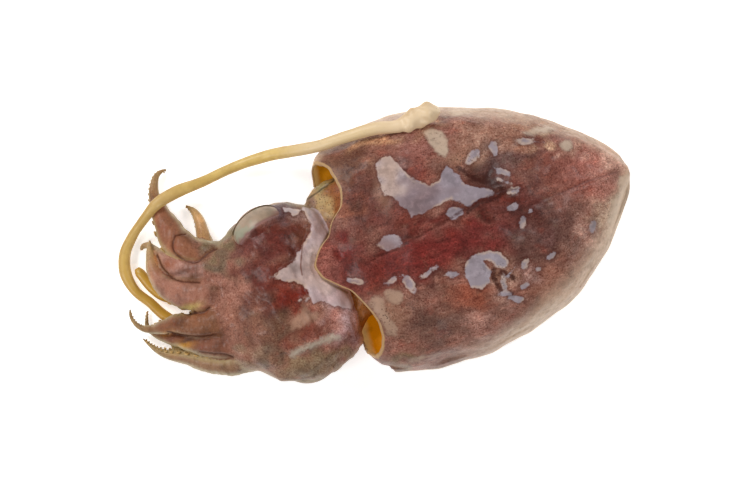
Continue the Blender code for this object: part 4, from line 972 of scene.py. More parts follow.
headMarks = {
    "ground": (146, 96, 78),
    "zones": (
        (-12.1, 4.3, 2.6, 1.8, (88, 10, 2)),  # dark red between the eye and the collar
        (-11.0, 8.4, 1.5, 1.1, (104, 88, 104)),
        (-19.6, 6.4, 2.2, 0.8, (112, 96, 66)),
        (-14.6, 3.6, 2.2, 1.6, (106, 50, 44)),
        (-12.2, -3.6, 2.4, 1.5, (126, 24, 8)),
        (-15.6, -0.8, 2.4, 1.5, (92, 14, 2)),
        (-17.6, -2.4, 1.8, 1.0, (112, 66, 50)),
        (-10.6, 7.8, 2.2, 1.0, (84, 58, 58)),
        (-21.6, 4.0, 1.8, 1.2, (104, 86, 64)),
        (-20.6, -0.8, 1.5, 1.8, (166, 112, 94)),
        (-16.9, 0.6, 1.3, 3.4, (88, 26, 18)),
        (-15.1, 4.6, 1.5, 1.2, (66, 10, 6)),
        (-16.6, -4.4, 1.5, 1.3, (72, 22, 14)),
        (-11.8, -4.4, 1.3, 0.9, (122, 30, 4)),
        (-18.3, -10.4, 1.5, 1.1, (96, 76, 58)),
        (-16.6, -6.6, 2.2, 2.2, (98, 70, 52)),
        (-19.6, -6.0, 2.0, 1.6, (136, 86, 66)),
        (-13.2, -14.2, 4.0, 1.5, (136, 112, 84)),
        (-9.6, -9.3, 1.8, 1.1, (180, 120, 102)),
        (-10.1, -6.3, 1.3, 0.9, (186, 132, 112)),
        (-12.4, -9.0, 3.0, 0.7, (126, 56, 40)),
        (-8.3, 6.2, 1.0, 0.9, (160, 128, 120)),
        # painted sheen: pale lavender-white over the lobe's right side, by the mantle's rim
        (-7.0, -8.4, 1.9, 2.8, (210, 176, 176)),
        (-6.6, -10.8, 1.2, 2.0, (190, 150, 152)),
        (-7.6, -12.2, 1.4, 1.6, (150, 96, 84)),
        (-23.0, -10.6, 3.0, 1.0, (136, 110, 86)),
        (-5.2, 9.9, 2.4, 0.7, (152, 140, 88)),  # on the neck
        (-5.6, 7.2, 1.8, 1.6, (196, 168, 116)),
        (-3.0, 7.0, 1.0, 2.6, (140, 76, 16)),
        (-4.6, 4.4, 1.2, 1.2, (112, 70, 46)),
    ),
    "paleGround": (200, 178, 178),
    "paleZones": (
        (-8.0, 7.2, 1.6, 1.0, (190, 176, 174)),
        (-6.4, 4.8, 1.6, 1.8, (188, 166, 168)),
        (-9.5, -1.0, 1.6, 1.6, (216, 186, 176)),
        (-13.0, -0.5, 2.0, 1.0, (168, 144, 136)),
        (-7.2, -4.6, 2.0, 1.6, (214, 184, 184)),
        (-7.6, -0.6, 1.2, 2.2, (222, 198, 190)),
        (-6.8, 3.4, 0.8, 1.6, (228, 206, 208)),
        (-6.4, 5.0, 1.0, 1.0, (214, 192, 194)),
    ),
    "paleOutlines": (
        ((-7.9, 7.4), (-6.6, 6.9), (-4.8, 5.4), (-4.4, 4.1), (-6.1, 2.2), (-6.9, 0.0), (-6.8, -2.8),
         (-5.4, -4.7), (-4.6, -6.5), (-5.8, -7.8), (-7.9, -6.6), (-9.4, -5.6), (-10.5, -5.5), (-10.9, -2.8),
         (-12.1, -1.8), (-13.7, -1.2), (-14.8, -0.3), (-13.2, 0.3), (-11.3, 0.8), (-9.6, 2.4), (-8.4, 3.4),
         (-7.5, 5.0), (-8.0, 6.6)),
        ((-10.2, 8.5), (-9.2, 7.9), (-8.3, 7.2), (-8.7, 6.8), (-9.4, 6.9), (-9.6, 7.5), (-10.2, 7.9)),
    ),
    "paleOvals": ((-12.3, -4.4, 0.35, 0.2, 0), (-11.2, -4.6, 0.3, 0.2, 20)),
    "beigeOutlines": (
        ((-14.5, -7.9), (-14.0, -6.8), (-12.9, -6.1), (-12.0, -5.3), (-11.3, -5.6), (-11.3, -6.5),
         (-10.4, -6.9), (-10.5, -7.6), (-11.5, -7.7), (-12.4, -8.0), (-13.4, -8.1)),
        ((-15.9, -11.4), (-15.4, -10.7), (-14.1, -10.7), (-12.4, -10.5), (-10.9, -10.3), (-9.4, -10.3),
         (-8.5, -10.9), (-9.2, -11.2), (-10.7, -11.2), (-12.4, -11.2), (-14.0, -11.3), (-15.1, -11.6)),
    ),
    "beigeOvals": ((-18.3, 6.4, 0.25, 0.16, 40),),
    "fold": ((-7.0, 8.2), (-5.0, 8.9), (-2.6, 10.0)),  # on the neck
    "rimShade": (  # under the mantle's rim
        (-3.9, 5.2), (-4.8, 3.9), (-6.0, 2.7), (-7.1, 1.7), (-7.9, 0.6), (-8.5, -0.5), (-8.6, -1.6),
        (-8.3, -2.7), (-7.4, -3.8), (-6.6, -4.6), (-5.7, -5.5),
    ),
    "line": ((-8.4, 4.7), (-9.5, 2.6), (-10.6, 0.0), (-10.8, -1.3)),  # thin, between two folds of the collar
    "ridge": ((-15.5, -10.9), (-12.0, -10.7), (-8.0, -10.6)),  # over the left eye
}


def headSkin():
    # all parts fused, smoothed, given their relief and lids, and marked for the finish
    tubes = [bodyRings(head), bodyRings(neck), funnelRings(), mouthRings()]
    for number, arm in enumerate(arms.values()):
        tubes.append(limbRings(arm["path"], arm["oral"], limb["depth"], limb["rings"], limb["around"],
                               limb["ridge"], limb["wobble"], limb["seed"] + number))
    parts = [(p, outward(p, f)) for p, f in map(tubeParts, tubes)]
    points, edges, quads = fused(parts, head["voxel"])
    web = head["web"]
    near = bell(points[:, 0], web["x"], web["reach"])[:, None]
    points = smoothed(points, edges, 0.5, 2)
    points = smoothed(points, edges, web["share"] * near, web["times"])
    normal = pointNormals(points, quads)
    gap, share, oral, which = nearestArm(points)
    onArm = rise(-points[:, 0], 22.5, 24.5) * rise(-gap, -1.9, -1.4)
    short = list(arms).index("arm_right_4")
    onArm = np.where(which == short, rise(share, 0.3, 0.5) * rise(-gap, -1.9, -1.4), onArm)
    onHead = 1 - onArm
    onNeck = neckShare(points)
    # relief: lumps, wrinkles round the arms' bases, a step at the collar, a fold over each eye
    height = 0.12 * lumps(points, 4.5, 31) * onHead + 0.04 * lumps(points, 1.5, 32) * onHead
    height += 0.03 * lumps(points * np.array([1.6, 0.6, 1.0]), 0.9, 33) * onArm * rise(-share, -0.75, -0.4)
    pale = patchDistance(points, headMarks["paleOutlines"], headMarks["paleOvals"])
    top = rise(points[:, 2], 4.0, 6.0)
    height += 0.16 * rise(-pale, -0.5, 0.5) * top * onHead - 0.1 * bell(pale, 0.3, 0.35) * top * onHead
    crease = np.min([lineDistance(points[:, :2], rounded(line)) for line in creases], axis=0)
    crease = crease + 2.0 * np.maximum(0, 2.2 - points[:, 2])
    height -= 0.22 * bell(crease, 0, 0.24)
    ridge = lineDistance(points[:, :2], headMarks["ridge"])
    hollow = 0.25 * bell(ridge, 1.3, 0.6) * (points[:, 1] < -10.8)
    height += top * onHead * (0.22 * bell(ridge, 0, 0.5) - hollow)
    neckFold = lineDistance(points[:, :2], headMarks["fold"])
    height += onNeck * top * (0.1 * bell(neckFold, 0.5, 0.4) - 0.2 * bell(neckFold, 0, 0.2))
    points = points + normal * (height * rise(points[:, 2], 0.2, 1.5) - 0.12 * onHead * (1 - onNeck))[:, None]
    eyeEdge = np.full(len(points), 9.0)
    lidEdge = np.full(len(points), 9.0)
    for eye in eyes.values():
        far, ring, above, facing, off = eyeCoordinates(points, eye)
        # over the eyeball the skin is drawn in around the opening, and inside the opening it sinks under it
        near = far < lid["reach"]
        outerLid = 1 - rise(above, -8, 6)
        fold = (0.01 + 0.02 * outerLid) * bell(ring, 1.12, 0.13)
        over = np.maximum(far, lid["least"])
        wide, away, facesOut = eye["gather"]
        gather = (1 - rise(ring, 1.0, wide)) * rise(facing, away, facesOut) * (over > lid["drawn"])
        cover = over + gather * (lid["drawn"] - over) + fold
        under = lid["under"] + (1 - lid["under"]) * rise(ring, 0.86, 1.0)
        ease = 1 - rise(far, *lid["eases"])
        moved = far + ease * (np.where(ring < 1.0, under, cover) - far)
        points = np.array(eye["middle"]) + off * (moved / np.maximum(far, 1e-6))[:, None]
        edge = ring - 1.0 + 1.2 * (1 - rise(facing, 0.15, 0.45))
        eyeEdge = np.where(near, np.minimum(eyeEdge, edge + 3 * (1 - outerLid)), eyeEdge)
        lidEdge = np.where(near, np.minimum(lidEdge, edge + 3 * outerLid), lidEdge)
    foremost = cadLow[0] / mm + middle[0] - 0.3
    points[:, 2] = np.maximum(points[:, 2], 0.0)
    points[:, 0] = np.maximum(points[:, 0], foremost)
    lowSide = 3.0 * np.maximum(0, 4.6 - points[:, 2])
    tone = zoneTones(points, headMarks["ground"], headMarks["zones"])
    armTones = np.array([paint(*arm["tone"]) for arm in arms.values()])[which.astype(int)]
    for zone in armZones:
        here = zoneWeight(points, zone)[:, None]
        armTones = armTones + here * (np.array(paint(*zone[4])) - armTones)
    # painted light: low skin facing sideways is made pale, like light through thin edges
    sideways = rise(-np.abs(normal[:, 2]), -0.85, -0.3)
    tone = tone + (rise(onArm * (0.3 + 3 * share), 0.1, 0.9))[:, None] * (armTones - tone)
    marks = {
        "tone": tone,
        "paleEdge": pale + lowSide + 3 * onArm,
        "paleTone": zoneTones(points, headMarks["paleGround"], headMarks["paleZones"]),
        "beigeEdge": patchDistance(points, headMarks["beigeOutlines"], headMarks["beigeOvals"]) + lowSide,
        "eyeEdge": eyeEdge,
        "lidEdge": lidEdge,
        "armShare": share * onArm,
        "onArm": onArm,
        "oral": oral,
        "onNeck": onNeck,
        # the neck's lower side, for its painted shade
        "lower": rise(-points[:, 1], 3.0, 6.5),
        "lowest": rise(-points[:, 1], 8.0, 10.0),
        # where the painted light on thin sideways edges goes
        "margin": sideways * (1 - rise(points[:, 2], 3.0, 7.0)) * (1 - onNeck),
        # how hollow the skin is, for painted shade in its hollows
        "pit": pitDepth(points, edges, normal),
        "creaseShadeEdge": crease,
        "seamShadeEdge": lineDistance(points[:, :2], headMarks["line"]) + lowSide,
        "foldEdge": neckFold,
        "rimShade": lineDistance(points[:, :2], headMarks["rimShade"]) + lowSide,
    }
    return points, quads, marks


def neckShare(points):
    # 1 on the neck and the funnel's collar, where the head's own sections don't reach
    x = np.clip(points[:, 0], head["x"][0], head["x"][-1])
    right, left, top, side, belly = bodyEdges(head, x)
    across = np.abs((points[:, 1] - (right + left) / 2) / np.maximum((right - left) / 2, 0.1))
    over = (points[:, 2] - side) / np.maximum(top - side, 0.1)
    under = (side - points[:, 2]) / np.maximum(side - belly, 0.1)
    up = np.where(points[:, 2] > side, over, under)
    power = sectionPower["neck"]
    outside = (across**power + np.abs(up) ** power) ** (1 / power)
    beyond = rise(points[:, 0], -5.4, -5.0)
    return np.maximum(rise(outside, 1.03, 1.12) * rise(points[:, 0], -9.6, -8.8), beyond)


def pitDepth(points, edges, normal):
    # how hollow the skin is round a point: mean neighbour's height over its tangent plane, smoothed
    height = np.zeros(len(points))
    step = points[edges[:, 1]] - points[edges[:, 0]]
    height += np.bincount(edges[:, 0], np.einsum("ij,ij->i", step, normal[edges[:, 0]]), len(points))
    height += np.bincount(edges[:, 1], -np.einsum("ij,ij->i", step, normal[edges[:, 1]]), len(points))
    return smoothed(height[:, None].repeat(3, axis=1), edges, 0.7, 4)[:, 0]


# tentacles

tentacles = {
    "tentacleLeft": {"nodes": (
        "tentacle_left_root", "tentacle_left_bend", "tentacle_left_rise", "tentacle_left_reach",
        "tentacle_left_shoulder", "tentacle_left_club"), "rings": 620, "path": (
        (-22.0, -4.3, 2.3, 1.3), (-25.5, -4.0, 1.9, 1.4), (-27.8, -3.1, 1.5, 1.5), (-29.2, -2.2, 1.25, 1.5),
        (-30.7, -0.6, 1.0, 1.5), (-31.9, 1.5, 0.95, 1.4), (-33.4, 3.8, 0.95, 1.45),
        (-33.9, 6.2, 0.95, 1.75), (-33.3, 8.7, 1.0, 1.7), (-31.6, 10.8, 1.3, 1.48), (-29.3, 12.6, 2.3, 1.4),
        (-27.0, 14.05, 3.3, 1.65), (-24.2, 14.8, 2.9, 1.77), (-20.0, 15.1, 2.1, 1.47),
        (-15.0, 15.7, 1.8, 1.44), (-10.0, 15.7, 2.7, 1.65), (-6.5, 15.2, 4.6, 1.7), (-3.4, 14.8, 6.3, 1.65),
        (1.0, 14.8, 7.9, 1.7), (5.0, 14.6, 8.9, 1.8), (8.2, 13.95, 9.2, 1.9), (9.7, 14.0, 9.2, 2.5),
        (11.4, 14.35, 9.0, 3.0), (13.1, 14.4, 8.6, 2.4), (13.9, 14.3, 8.3, 0.9))},
    "tentacleRight": {"nodes": ("tentacle_right_stalk", "tentacle_right_club"), "rings": 120, "path": (
        (-22.0, 1.2, 2.3, 1.3), (-25.5, 0.9, 1.9, 1.3), (-28.2, 0.8, 1.4, 1.3), (-30.0, 1.9, 1.1, 1.4),
        (-31.0, 3.3, 1.0, 1.5), (-31.7, 5.0, 0.95, 1.5), (-32.1, 6.2, 0.9, 1.2), (-32.2, 6.6, 0.9, 0.7))},
    "around": 26,
    "depth": 0.85,
    "oral": (-0.6, 0.2, -0.8),
    "clubOral": (-0.1, 0.8, 0.6),
    "clubPoints": 3,  # the last points of the left one's path
    "swell": (0.01, 0.11),  # height of its lumps as shares of its width, before the club and on it
    "clubShape": (6.4, 5.0),  # where the lumps grow, and where the tone changes, back from the tip
    "clubTone": (14.0, 4.0),
}


def tentacleParts(name):
    # an oval swept along the path, with lumps that grow on the left one's club
    tentacle = tentacles[name]
    rings = limbRings(
        tentacle["path"], tentacles["oral"], tentacles["depth"], tentacle["rings"], tentacles["around"]
    )
    flat = rings.reshape(-1, 3)
    line = rings.mean(axis=1)
    out = rings - line[:, None]
    run = np.concatenate([[0], np.cumsum(np.linalg.norm(np.diff(line, axis=0), axis=1))])
    starts, ends = run[-1] - np.array(tentacles["clubShape"])
    club = rise(run, starts, ends) if name == "tentacleLeft" else np.zeros(len(run))
    low, high = tentacles["swell"]
    swell = 1 + low * lumps(flat, 2.5, 61).reshape(rings.shape[:2])
    swell += (high * club[:, None]) * lumps(flat, 1.5, 63).reshape(rings.shape[:2])
    rings = line[:, None] + out * np.clip(swell, 0.8, 1.2)[..., None]
    points, faces = tubeParts(rings)
    edge = np.abs(np.cos(np.linspace(0, 2 * math.pi, rings.shape[1], endpoint=False)))
    towards = rise(run, *(run[-1] - np.array(tentacles["clubTone"]))) * (club[-1] > 0)
    marks = {
        "along": np.repeat(run, rings.shape[1]),
        "club": np.repeat(towards, rings.shape[1]),
        "edge": np.tile(edge, len(rings)),
        "raised": rise(rings[..., 2].ravel(), 3.0, 7.0),
    }
    return points, faces, withEnds(marks)


# suckers

sucker = {
    "sides": 8,
    "bare": 4.6,  # length without suckers, from an arm's root
    "share": 0.12,  # radius, and distance from the middle, as shares of the arm's width
    "offset": 0.24,
    "least": 0.13,  # smallest radius
    "spacing": 1.75,  # from cup to cup, in radii
    "stand": 0.17,  # height of a cup, for a radius of at least full
    "full": 0.36,
    "lean": 0.3,
    "lowest": 0.08,
    "seed": 80,
    "profile": (  # shares of radius and height: root, wall, rim and pit
        (0.7, -1.0), (0.72, 0.2), (0.95, 0.6), (1.0, 0.85), (0.85, 1.0), (0.6, 0.95), (0.42, 0.65),
        (0.05, 0.55),
    ),
}


def suckerParts(path, oral, depth, bare, large, seed):
    # two staggered rows; each is a turned cup: sunk root, swollen wall, rounded rim and a pit
    line, at = alongPath(path, 900)
    ahead, side, across = limbFrame(line, oral)
    dice = np.random.default_rng(seed)
    places = []
    reach = bare
    while reach < at[-1] - 0.35:
        width = np.interp(reach, at, line[:, 3])
        radius = max(sucker["least"], width * sucker["share"] * large)
        places.append((reach, radius, width))
        reach += radius * sucker["spacing"]
    reach, radius, width = np.array(places).T
    index = np.searchsorted(at, reach)
    hand = np.where(np.arange(len(reach)) % 2 == 0, 1, -1)
    radius = radius * dice.uniform(0.88, 1.1, len(radius))
    profile = np.array(sucker["profile"])
    angle = np.linspace(0, 2 * math.pi, sucker["sides"], endpoint=False)
    up, fore, over = side[index], ahead[index], across[index]
    lean = up + over * (hand * sucker["lean"])[:, None]
    lean /= np.linalg.norm(lean, axis=1)[:, None]
    skin = line[index, :3] + over * (hand * sucker["offset"] * width)[:, None]
    skin = skin + up * (width * depth * limb["oralShare"] * 0.84)[:, None]
    tall = sucker["stand"] * large**2 * np.minimum(1, radius / sucker["full"])
    ring = np.cos(angle)[None, :, None] * over[:, None] + np.sin(angle)[None, :, None] * fore[:, None]
    cups = (skin[:, None, None] + ring[:, None] * (radius[:, None] * profile[:, 0])[..., None, None]
            + lean[:, None, None] * (tall[:, None] * profile[:, 1])[..., None, None])
    cups[..., 2] = np.maximum(cups[..., 2], sucker["lowest"])
    return [tubeParts(cup) for cup in cups]


# eyes


def eyeballParts(eye):
    # an ellipsoid with a slight corneal swell towards its opening
    polar = np.linspace(0, math.pi, eyeMesh["rings"])[1:-1][:, None]
    angle = np.linspace(0, 2 * math.pi, eyeMesh["around"], endpoint=False)[None]
    u = -np.cos(polar) + 0 * angle
    v, w = np.sin(polar) * np.cos(angle), np.sin(polar) * np.sin(angle)
    opens = math.radians(eye["opens"][0])
    facing = v * math.cos(opens) + w * math.sin(opens)
    swell = 1 + 0.02 * bell(facing, 1, 0.3)
    turn = math.radians(eye["turn"])
    x, y, z = u * eye["half"][0] * swell, v * eye["half"][1] * swell * eye["side"], w * eye["half"][2] * swell
    c, s = math.cos(turn), math.sin(turn)
    rings = np.stack([x * c - y * s, x * s + y * c, z], axis=-1)
    points, faces = tubeParts(rings + np.array(eye["middle"]))
    _, ring, above, _, _ = eyeCoordinates(points, eye)
    return points, faces, {"lid": ring * rise(above, -4.0, 10.0)}


# finishes


def skinColour(f, tone, speckle=1.0):
    # rust and olive clouds, broad shading, mottle and grain to both sides of the tone, and chromatophore dots
    blotch = f.noise(0.3, 5, 0.62)
    rust = f.noise(0.46, 5, 0.66)
    mottle = f.noise(1.25, 6, 0.7)
    grain = f.noise(4.2, 3, 0.65)
    colour = f.blend(tone, paint(142, 56, 38), f.rise(rust, 0.54, 0.72, 0.28))
    colour = f.blend(colour, paint(96, 80, 62), f.rise(rust, 0.45, 0.28, 0.28))
    colour = f.shade(colour, f.rise(blotch, 0.5, 0.7), 0.66)
    colour = f.shade(colour, f.rise(blotch, 0.48, 0.3), 1.35)
    colour = f.shade(colour, f.rise(mottle, 0.51, 0.7) * speckle, (0.62, 0.48, 0.42))
    colour = f.shade(colour, f.rise(mottle, 0.48, 0.3) * speckle, (1.3, 1.46, 1.5))
    colour = f.shade(colour, f.rise(grain, 0.5, 0.7) * speckle, (0.5, 0.36, 0.32))
    colour = f.shade(colour, f.rise(grain, 0.48, 0.3) * speckle, (1.4, 1.64, 1.7))
    dense = f.noise(0.5, 3, 0.5)
    dark = f.dots(3.4, 0.2, 0.16) * f.rise(dense, 0.42, 0.64, 0.6) * speckle
    light = f.dots(2.7, 0.1, 0.12) * f.rise(dense, 0.58, 0.42, 0.3) * speckle
    colour = f.blend(colour, paint(50, 18, 12), dark)
    colour = f.shade(colour, light, (1.5, 1.8, 1.9))
    return colour, mottle


def patches(f, colour, mottle, sandTone, fringe):
    # bare pale patches with a thin dark edge, and softer beige ones
    fray = (f.noise(0.8, 3, 0.5) - 0.5) * 0.9 + (f.noise(2.2, 2, 0.5) - 0.5) * 0.4
    pale = f.read("paleEdge") + fray
    colour = f.blend(colour, paint(78, 32, 26), f.rise(pale, 0.5, 0.1, 0.45))
    milk = f.shade(f.read("paleTone", "Color"), f.rise(f.noise(0.6, 4, 0.6), 0.5, 0.68), 0.78)
    milk = f.shade(milk, f.rise(f.noise(1.2, 4, 0.6), 0.5, 0.32), 1.18)
    milk = f.blend(milk, paint(112, 70, 66), f.rise(mottle, 0.64, 0.72, 0.55))
    warm = f.rise(pale, -0.45, -0.1) * f.rise(f.noise(0.35, 2), 0.45, 0.6, 0.5)
    milk = f.blend(milk, paint(212, 180, 154), warm)
    colour = f.blend(colour, milk, f.rise(pale, 0.1, -0.12, 0.96))
    beige = f.read("beigeEdge") + fray + (f.noise(3.0, 4, 0.7) - 0.5) * (fringe * 4 - 0.8)
    sand = f.shade(sandTone, f.rise(mottle, 0.5, 0.66), 0.74)
    sand = f.blend(sand, paint(112, 66, 48), f.dots(2.2, 0.16, 0.12) * f.rise(mottle, 0.5, 0.6, 0.5))
    colour = f.blend(colour, paint(88, 46, 34), f.rise(beige, 0.34, 0.1, 0.4 - fringe * 0.5))
    return f.blend(colour, sand, f.rise(beige, fringe, -fringe, 1.0 - fringe * 0.7))


def wetSkin(f, colour, mottle):
    # the colour with fine relief under a thin wet coat
    f.set(base_color=colour, roughness=f.rise(mottle, 0.2, 0.8, 0.2) + 0.32, coat_weight=0.08)
    f.set(normal=f.relief(mottle + f.noise(4.2, 3, 0.65) * 0.35, 0.08))
    f.shader.inputs["Coat Roughness"].default_value = 0.2
    f.shader.inputs["Specular IOR Level"].default_value = 0.2


def mantleFinish():
    f = Finish("mantleSkin")
    colour, mottle = skinColour(f, f.read("tone", "Color"))
    fibre = f.noise(1.2, 4, 0.6, (0.3, 1.7, 1.0))
    colour = f.shade(colour, f.rise(fibre, 0.54, 0.68), (1.28, 1.22, 1.2))
    colour = f.shade(colour, f.rise(fibre, 0.46, 0.32), (0.8, 0.68, 0.66))
    spotted = f.read("speckled")
    colour = f.blend(colour, paint(146, 106, 80), spotted * 0.5)
    streak = f.read("streakEdge") + (f.noise(2.4, 5, 0.7) - 0.5) * 1.5
    colour = f.blend(colour, paint(54, 12, 2), f.rise(streak, 0.6, 0.1, 0.85))
    sandTone = f.blend(paint(204, 182, 160), paint(176, 144, 122), f.read("nearRim"))
    colour = patches(f, colour, mottle, sandTone, 0.32)
    colour = f.blend(colour, paint(56, 24, 14), f.dots(2.8, 0.2, 0.16) * spotted * 0.8)
    colour = f.blend(colour, paint(220, 192, 164), f.read("margin") * f.rise(mottle, 1.2, 0.2, 0.95))
    # painted shade in the groove of the middle crease, and fainter in the seam towards the tail
    crease = f.read("creaseShadeEdge") + (f.noise(1.6, 4) - 0.5) * 0.5
    colour = f.blend(colour, paint(62, 14, 8), f.rise(crease, 0.3, 0.04, 0.7))
    seam = f.read("seamShadeEdge") + (f.noise(1.6, 4) - 0.5) * 0.4
    colour = f.blend(colour, paint(104, 62, 58), f.rise(seam, 0.26, 0.03, 0.5))
    # the fins' thin edges made near white: partly their own pale colour, partly painted light coming through
    # them
    colour = f.blend(colour, paint(230, 218, 192), f.rise(f.read("finReach"), 0.55, 1.05, 0.95))
    rim = f.read("fromRim") + (mottle - 0.5) * 0.2
    colour = f.blend(colour, paint(186, 150, 106), f.rise(rim, 0.3, 0.12, 0.9))
    within = f.rise(f.read("inside"), 0.05, 0.3)
    amber = f.blend(paint(208, 136, 4), paint(190, 126, 14), f.read("upper"))
    amber = f.blend(amber, paint(206, 178, 118), f.rise(f.read("inside"), 1.5, 0.6, 0.85))
    amber = f.shade(amber, f.rise(f.noise(0.4, 3), 0.45, 0.7), 0.72)
    colour = f.blend(colour, amber, within)
    glow = f.blend(paint(0, 0, 0), paint(196, 188, 168), f.rise(f.read("finReach"), 0.5, 1.0))
    f.set(emission_color=f.blend(glow, amber, within))
    f.shader.inputs["Emission Strength"].default_value = 0.3  # light that comes through the wall
    wetSkin(f, colour, mottle)
    return f.material


def headFinish():
    f = Finish("headSkin")
    onArm = f.read("onArm")
    tone = f.blend(f.read("tone", "Color"), paint(172, 142, 92), f.rise(f.read("armShare"), 0.6, 0.95, 0.75))
    colour, mottle = skinColour(f, tone, 0.9 - onArm * 0.55)
    sandTone = f.blend(paint(178, 138, 114), paint(202, 190, 170), f.read("lowest"))
    colour = patches(f, colour, mottle, sandTone, 0.42)
    # painted light: pale thin edges low on the sides
    colour = f.blend(colour, paint(192, 178, 144), f.read("margin") * f.rise(mottle, 1.2, 0.3, 0.85))
    colour = f.blend(colour, paint(176, 152, 106), onArm * f.rise(f.read("oral"), 0.15, 0.75, 0.8))
    speck = f.shade(f.read("tone", "Color"), f.rise(mottle, 0.52, 0.62), (0.88, 0.76, 0.66))
    speck = f.shade(speck, f.rise(mottle, 0.48, 0.36), 1.3)
    # painted shade along the groove of the fold on the neck
    fold = f.read("foldEdge") + (mottle - 0.5) * 0.2
    speck = f.blend(speck, paint(66, 54, 32), f.rise(fold, 0.2, 0.05, 0.7))
    # painted shade: the neck's lower side, in the shadow between the head and the mantle, darker and browner
    speck = f.blend(speck, paint(150, 92, 38), f.read("lower"))
    speck = f.shade(speck, f.dots(3.0, 0.2, 0.16), 0.5)
    colour = f.blend(colour, speck, f.read("onNeck"))
    # painted shade in the hollows of the skin
    colour = f.blend(colour, paint(132, 84, 44), f.rise(f.read("pit"), 0.04, 0.16, 0.5))
    # painted shade in the creases where one arm meets the next: a soft wide band and a thin dark line
    crease = f.read("creaseShadeEdge") + (f.noise(1.6, 4) - 0.5) * 0.2
    colour = f.blend(colour, paint(120, 66, 38), f.rise(crease, 0.5, 0.1, 0.4))
    colour = f.blend(colour, paint(78, 36, 18), f.rise(crease, 0.19, 0.04, 0.8))
    # painted shade in the thin crease between two folds of the collar
    line = f.read("seamShadeEdge") + (f.noise(1.6, 4) - 0.5) * 0.2
    colour = f.blend(colour, paint(120, 66, 48), f.rise(line, 0.16, 0.05, 0.7))
    colour = f.blend(colour, paint(120, 94, 58), f.rise(f.read("rimShade"), 0.28, 0.06, 0.7))
    rim = f.read("eyeEdge")
    colour = f.blend(colour, paint(130, 116, 82), f.rise(rim, 0.5, 0.14, 0.7))
    colour = f.blend(colour, paint(72, 54, 32), f.rise(rim, 0.14, 0.05, 0.8))
    colour = f.blend(colour, paint(138, 104, 100), f.rise(f.read("lidEdge"), 0.3, 0.02, 0.7))
    wetSkin(f, colour, mottle)
    return f.material


def tentacleFinish():
    f = Finish("tentacleFlesh")
    mottle = f.noise(0.5, 4, 0.5)
    colour = f.blend(paint(202, 169, 99), paint(186, 151, 82), f.rise(mottle, 0.38, 0.66))
    colour = f.blend(colour, paint(186, 138, 36), f.rise(f.read("along"), 24.0, 9.0, 0.85))
    colour = f.blend(colour, paint(208, 180, 142), f.read("raised") * 0.9)
    colour = f.blend(colour, paint(218, 190, 160), f.rise(f.read("club"), 0.1, 0.9, 0.7))
    colour = f.blend(colour, paint(160, 118, 56), f.rise(f.read("edge"), 0.8, 1.0, 0.4))
    colour = f.shade(colour, f.rise(f.noise(2.4, 3), 0.52, 0.76, 0.5), 0.86)
    # painted light: the stalk made lighter from 28 mm along its length on
    colour = f.shade(colour, f.rise(f.read("along"), 28.0, 38.0), (1.07, 1.1, 1.06))
    f.set(base_color=colour, roughness=f.rise(mottle, 0.2, 0.8, 0.16) + 0.34, emission_color=colour)
    f.set(normal=f.relief(mottle + f.noise(4.0, 3) * 0.3, 0.03))
    f.shader.inputs["Emission Strength"].default_value = 0.1  # light that comes through the flesh
    return f.material


def suckerFinish():
    f = Finish("suckerFlesh")
    tint = f.noise(1.5, 4, 0.6)
    colour = f.blend(paint(206, 170, 108), paint(174, 132, 72), f.rise(tint, 0.38, 0.68))
    f.set(base_color=colour, roughness=f.rise(tint, 0.2, 0.8, 0.2) + 0.3)
    f.set(normal=f.relief(f.noise(6.0, 3), 0.03))
    return f.material


def eyeFinish():
    f = Finish("eyeball")
    cloud = f.noise(0.45, 4, 0.6)
    colour = f.blend(paint(162, 138, 116), paint(136, 118, 98), f.rise(cloud, 0.4, 0.66))
    colour = f.blend(colour, paint(128, 84, 78), f.rise(f.read("lid"), 0.7, 1.0, 0.8))
    colour = f.blend(colour, paint(148, 156, 134), f.rise(f.noise(0.3, 2), 0.5, 0.62, 0.6))
    f.set(base_color=colour, roughness=f.rise(cloud, 0.2, 0.8, 0.12) + 0.38)
    f.set(normal=f.relief(f.noise(1.6, 3), 0.03))
    return f.material


# the animal

print("mantle")
grid, given = mantleGrid()
points, faces = tubeParts(grid)
faces = outward(points, faces)
marks = withEnds(markMantle(grid, given))
nodes = ("mantle", "fin_left", "fin_right")
mantlePiece = makePiece("mantleAndFins", points, faces, mantleFinish(), nodes, marks)

print("head, neck and arms")
points, quads, marks = headSkin()
nodes = ("head", "neck", "funnel", "mouth", *arms)
headPiece = makePiece("headAndArms", points, outward(points, quads), headFinish(), nodes, marks)

print("tentacles")
fleshTentacle = tentacleFinish()
for name in ("tentacleLeft", "tentacleRight"):
    points, faces, marks = tentacleParts(name)
    piece = makePiece(name, points, outward(points, faces), fleshTentacle, tentacles[name]["nodes"], marks)

print("suckers")
cups = []
for number, arm in enumerate(arms.values()):
    large = arm.get("cup", 1.0)
    seed = sucker["seed"] + number
    cups += suckerParts(arm["path"], arm["oral"], limb["depth"], sucker["bare"], large, seed)
clubPath = tentacles["tentacleLeft"]["path"][-tentacles["clubPoints"]:]
clubCups = {"bare": 1.0, "large": 0.7, "seed": 99}
cups += suckerParts(clubPath, tentacles["clubOral"], tentacles["depth"], **clubCups)
cups = [(p, outward(p, f)) for p, f in cups]
points, faces = joinParts(cups)
piece = makePiece("suckers", points, faces, suckerFinish(), ())

print("eyes")
eyeGloss = eyeFinish()
for name, eye in eyes.items():
    points, faces, marks = eyeballParts(eye)
    piece = makePiece(name, points, outward(points, faces), eyeGloss, (eye["node"],), marks)

# floor, light and camera

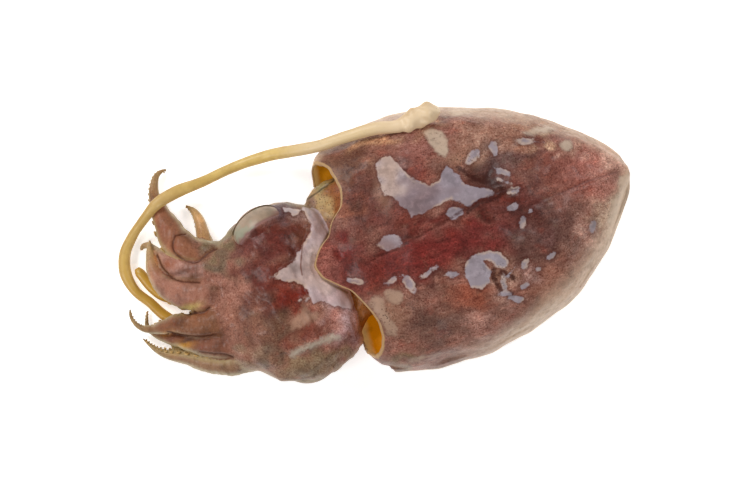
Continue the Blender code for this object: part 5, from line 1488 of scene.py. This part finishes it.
print("floor, light and camera")
stage = {"half": 1.5, "under": 0.00002, "glow": 0.6, "room": 0.06}
floorMesh = bpy.data.meshes.new("floor")
ways = ((-1, -1), (1, -1), (1, 1), (-1, 1))
corners = [(x * stage["half"], y * stage["half"], -stage["under"]) for x, y in ways]
floorMesh.from_pydata(corners, [], [(0, 1, 2, 3)])
floor = linked("floor", floorMesh)
paper = Finish("floorPaper")
paper.set(base_color=(0.9, 0.9, 0.9), roughness=0.9)
paper.shader.inputs["Emission Color"].default_value = (1, 1, 1, 1)
paper.shader.inputs["Emission Strength"].default_value = stage["glow"]
floorMesh.materials.append(paper.material)
floor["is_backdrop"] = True

lamps = {
    "lampBack": {"at": (-0.25, 0.45, 0.45), "size": 0.25, "power": 2.6},
    "lampLeft": {"at": (-0.45, -0.1, 0.4), "size": 0.16, "power": 1.3},
    "lampRight": {"at": (0.45, 0.15, 0.4), "size": 0.16, "power": 1.2},
    "lampNear": {"at": (0.1, -0.5, 0.4), "size": 0.2, "power": 0.8},
}
for name, lamp in lamps.items():
    light = bpy.data.lights.new(name, "AREA")
    light.size = lamp["size"]
    light.energy = lamp["power"]
    holder = linked(name, light)
    holder.location = lamp["at"]
    away = np.array(lamp["at"]) / np.linalg.norm(lamp["at"])
    holder.rotation_euler = (math.acos(away[2]), 0, math.atan2(away[1], away[0]) + math.pi / 2)

world = bpy.data.worlds.new("room")
world.use_nodes = True
world.node_tree.nodes["Background"].inputs["Color"].default_value = (1, 1, 1, 1)
world.node_tree.nodes["Background"].inputs["Strength"].default_value = stage["room"]
bpy.context.scene.world = world

view = {
    "wide": 103.1,  # mm seen across at the floor
    "far": 1200.0,  # mm above it
    "at": (-0.3, -1.13),
    "turn": -18.0,  # degrees
    "sensor": 36.0,
}
camera = bpy.data.cameras.new("camera")
camera.sensor_width = view["sensor"]
camera.lens = view["sensor"] * view["far"] / view["wide"]
camera.clip_start, camera.clip_end = 0.05, 10.0
cameraHolder = linked("camera", camera)
cameraHolder.location = ((view["at"][0] - middle[0]) * mm, (view["at"][1] - middle[1]) * mm, view["far"] * mm)
cameraHolder.rotation_euler = (0, 0, math.radians(view["turn"]))
bpy.context.scene.camera = cameraHolder

bpy.context.scene.view_settings.view_transform = "Standard"

low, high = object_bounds()
for title, box in (("CAD box", (*cadLow, *cadHigh)), ("visual box", (*low, *high))):
    print(title, [round(v * 1000, 2) for v in box])
